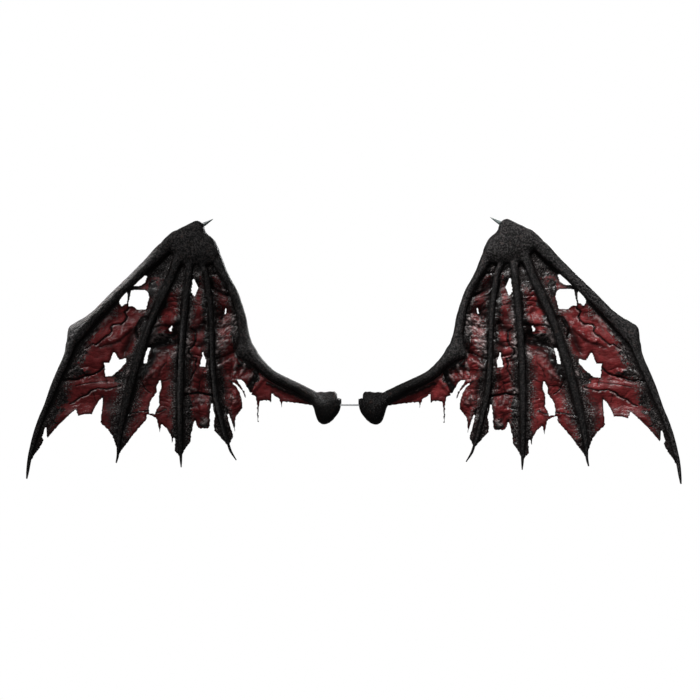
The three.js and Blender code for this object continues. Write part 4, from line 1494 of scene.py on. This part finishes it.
# %% [markdown]
# ### Oxblood skin
#
# The skin is painted latex: dark blood red and satin, blackened where it burnt. The amounts of char, of ash
# with painted glints, of scuffs with a painted pale highlight, and of soot with painted shade come from the
# attributes that were worked out with the shape, so the colour sits exactly on the relief. In the char,
# fine ashy strokes, partly painted glints, run square to the nearest bone: a noise that is read along and
# away from the bone, drawn out away from it. From below, the layers are blood red, char, ash with painted
# glints, a painted greyish pink highlight as if the paint were rubbed off to its pale undercoat, and soot
# with painted shade in the cracks, the creases, the valleys and beside the bones.

# %% Oxblood skin
skin, tree, shader, place = new_finish("oxblood latex skin")
char, ash, scuff, soot = (
    add_node(tree, "Attribute", attribute_name=label).outputs["Fac"]
    for label in ("char", "ash", "scuff", "soot")
)
mottle = add_node(
    tree, "TexNoise", {"Vector": place, "Scale": per_mm(26), "Detail": 6.0, "Roughness": 0.78}
)
level = add_node(tree, "Mapping", {"Vector": place, "Scale": (0.35, 0.35, 1.0)})
creping = add_node(tree, "TexNoise", {"Vector": level, "Scale": per_mm(4), "Detail": 3.0, "Roughness": 0.6})
lie = add_node(tree, "Attribute", attribute_name="lie").outputs["Vector"]
drawn = add_node(tree, "Mapping", {"Vector": lie, "Scale": (1.0, 0.45, 1.0)})
strokes = add_node(
    tree, "TexNoise", {"Vector": drawn, "Scale": per_mm(2.1), "Detail": 3.0, "Roughness": 0.65}
)
tone = add_node(tree, "MapRange", {"Value": mottle, "From Min": 0.35, "From Max": 0.66})
blood = add_node(
    tree, "Mix", {SHARE: tone, LOWER: linear("#521416"), UPPER: linear("#8a3334")}, data_type="RGBA"
)
spread = add_node(tree, "MapRange", {"Value": strokes, "From Min": 0.32, "From Max": 0.68, "To Max": 0.75})
licked = add_node(tree, "Math", {0: spread, 1: char}, operation="ADD")
burnt = add_node(tree, "MapRange", {"Value": licked, "From Min": 0.62, "From Max": 1.12})
charred = add_node(tree, "Mix", {SHARE: burnt, LOWER: blood, UPPER: linear("#121010")}, data_type="RGBA")
# Grey ash strokes on the char, partly painted glints
bright = add_node(tree, "MapRange", {"Value": strokes, "From Min": 0.52, "From Max": 0.62})
ash_and_sheen_strokes = add_node(tree, "Math", {0: bright, 1: ash}, operation="MULTIPLY")
ashy = add_node(tree, "Mix", {SHARE: ash_and_sheen_strokes, LOWER: charred, UPPER: linear("#928a88")}, data_type="RGBA")
# A painted greyish pink highlight, as if the paint were rubbed off
rubbed_highlight = add_node(tree, "Math", {0: scuff, 1: creping}, operation="MULTIPLY")
scuffed = add_node(tree, "Mix", {SHARE: rubbed_highlight, LOWER: ashy, UPPER: linear("#c2b2b0")}, data_type="RGBA")
# Soot at the torn rims and painted shade in cracks, creases, valleys and beside the bones
sooty = add_node(tree, "Mix", {SHARE: soot, LOWER: scuffed, UPPER: linear("#0d0909")}, data_type="RGBA")
satin = add_node(tree, "MapRange", {"Value": burnt, "To Min": 0.33, "To Max": 0.27})
fine = add_node(tree, "MapRange", {"Value": creping, "To Max": 1.3})
height = add_node(tree, "Math", {0: strokes, 1: ash, 2: fine}, operation="MULTIPLY_ADD")
bump = add_node(tree, "Bump", {"Height": height, "Strength": 0.6, "Distance": 1.5 * MM})
set_inputs(shader, {"Base Color": sooty, "Roughness": satin, "Normal": bump})
set_inputs(shader, {"IOR": 1.5, "Specular IOR Level": 0.2})
print(skin.name, "with", len(tree.nodes), "nodes")

# %% [markdown]
# ### Horn and steel
#
# The claw is polished grey horn, cloudy from pale to dark in cells of 4 mm. The bar that
# joins the two knobs is plain steel, brushed along its length. Its scratches are drawn 0.8 mm
# apart, coarser than real ones, so that they show.

# %% Polished horn
horn, tree, shader, place = new_finish("polished grey horn")
cloud = add_node(tree, "TexNoise", {"Vector": place, "Scale": per_mm(4), "Detail": 4.0, "Roughness": 0.6})
grey = add_node(
    tree, "Mix", {SHARE: cloud, LOWER: linear("#3c4444"), UPPER: linear("#7d8886")}, data_type="RGBA"
)
bump = add_node(tree, "Bump", {"Height": cloud, "Strength": 0.2, "Distance": 0.5 * MM})
set_inputs(shader, {"Base Color": grey, "Roughness": 0.28, "Normal": bump, "IOR": 1.54})
print(horn.name, "with", len(tree.nodes), "nodes")

# %% Brushed steel
steel, tree, shader, place = new_finish("brushed steel")
lengthways = add_node(tree, "Mapping", {"Vector": place, "Scale": (0.03, 1.0, 1.0)})
scratches = add_node(tree, "TexNoise", {"Vector": lengthways, "Scale": per_mm(0.8), "Detail": 3.0})
dull = add_node(
    tree, "MapRange", {"Value": scratches, "From Min": 0.3, "From Max": 0.7, "To Min": 0.4, "To Max": 0.6}
)
bump = add_node(tree, "Bump", {"Height": scratches, "Strength": 0.15, "Distance": 0.1 * MM})
set_inputs(shader, {"Base Color": linear("#dadcde"), "Metallic": 1.0, "Roughness": dull, "Normal": bump})
print(steel.name, "with", len(tree.nodes), "nodes")

# %% Dress the pieces
FINISHES = {"hide": hide, "skin": skin, "horn": horn}
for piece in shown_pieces():
    finish = FINISHES.get(piece.get("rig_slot"), steel)
    piece.data.materials.clear()
    piece.data.materials.append(finish)
    print(piece.name, "in", finish.name)
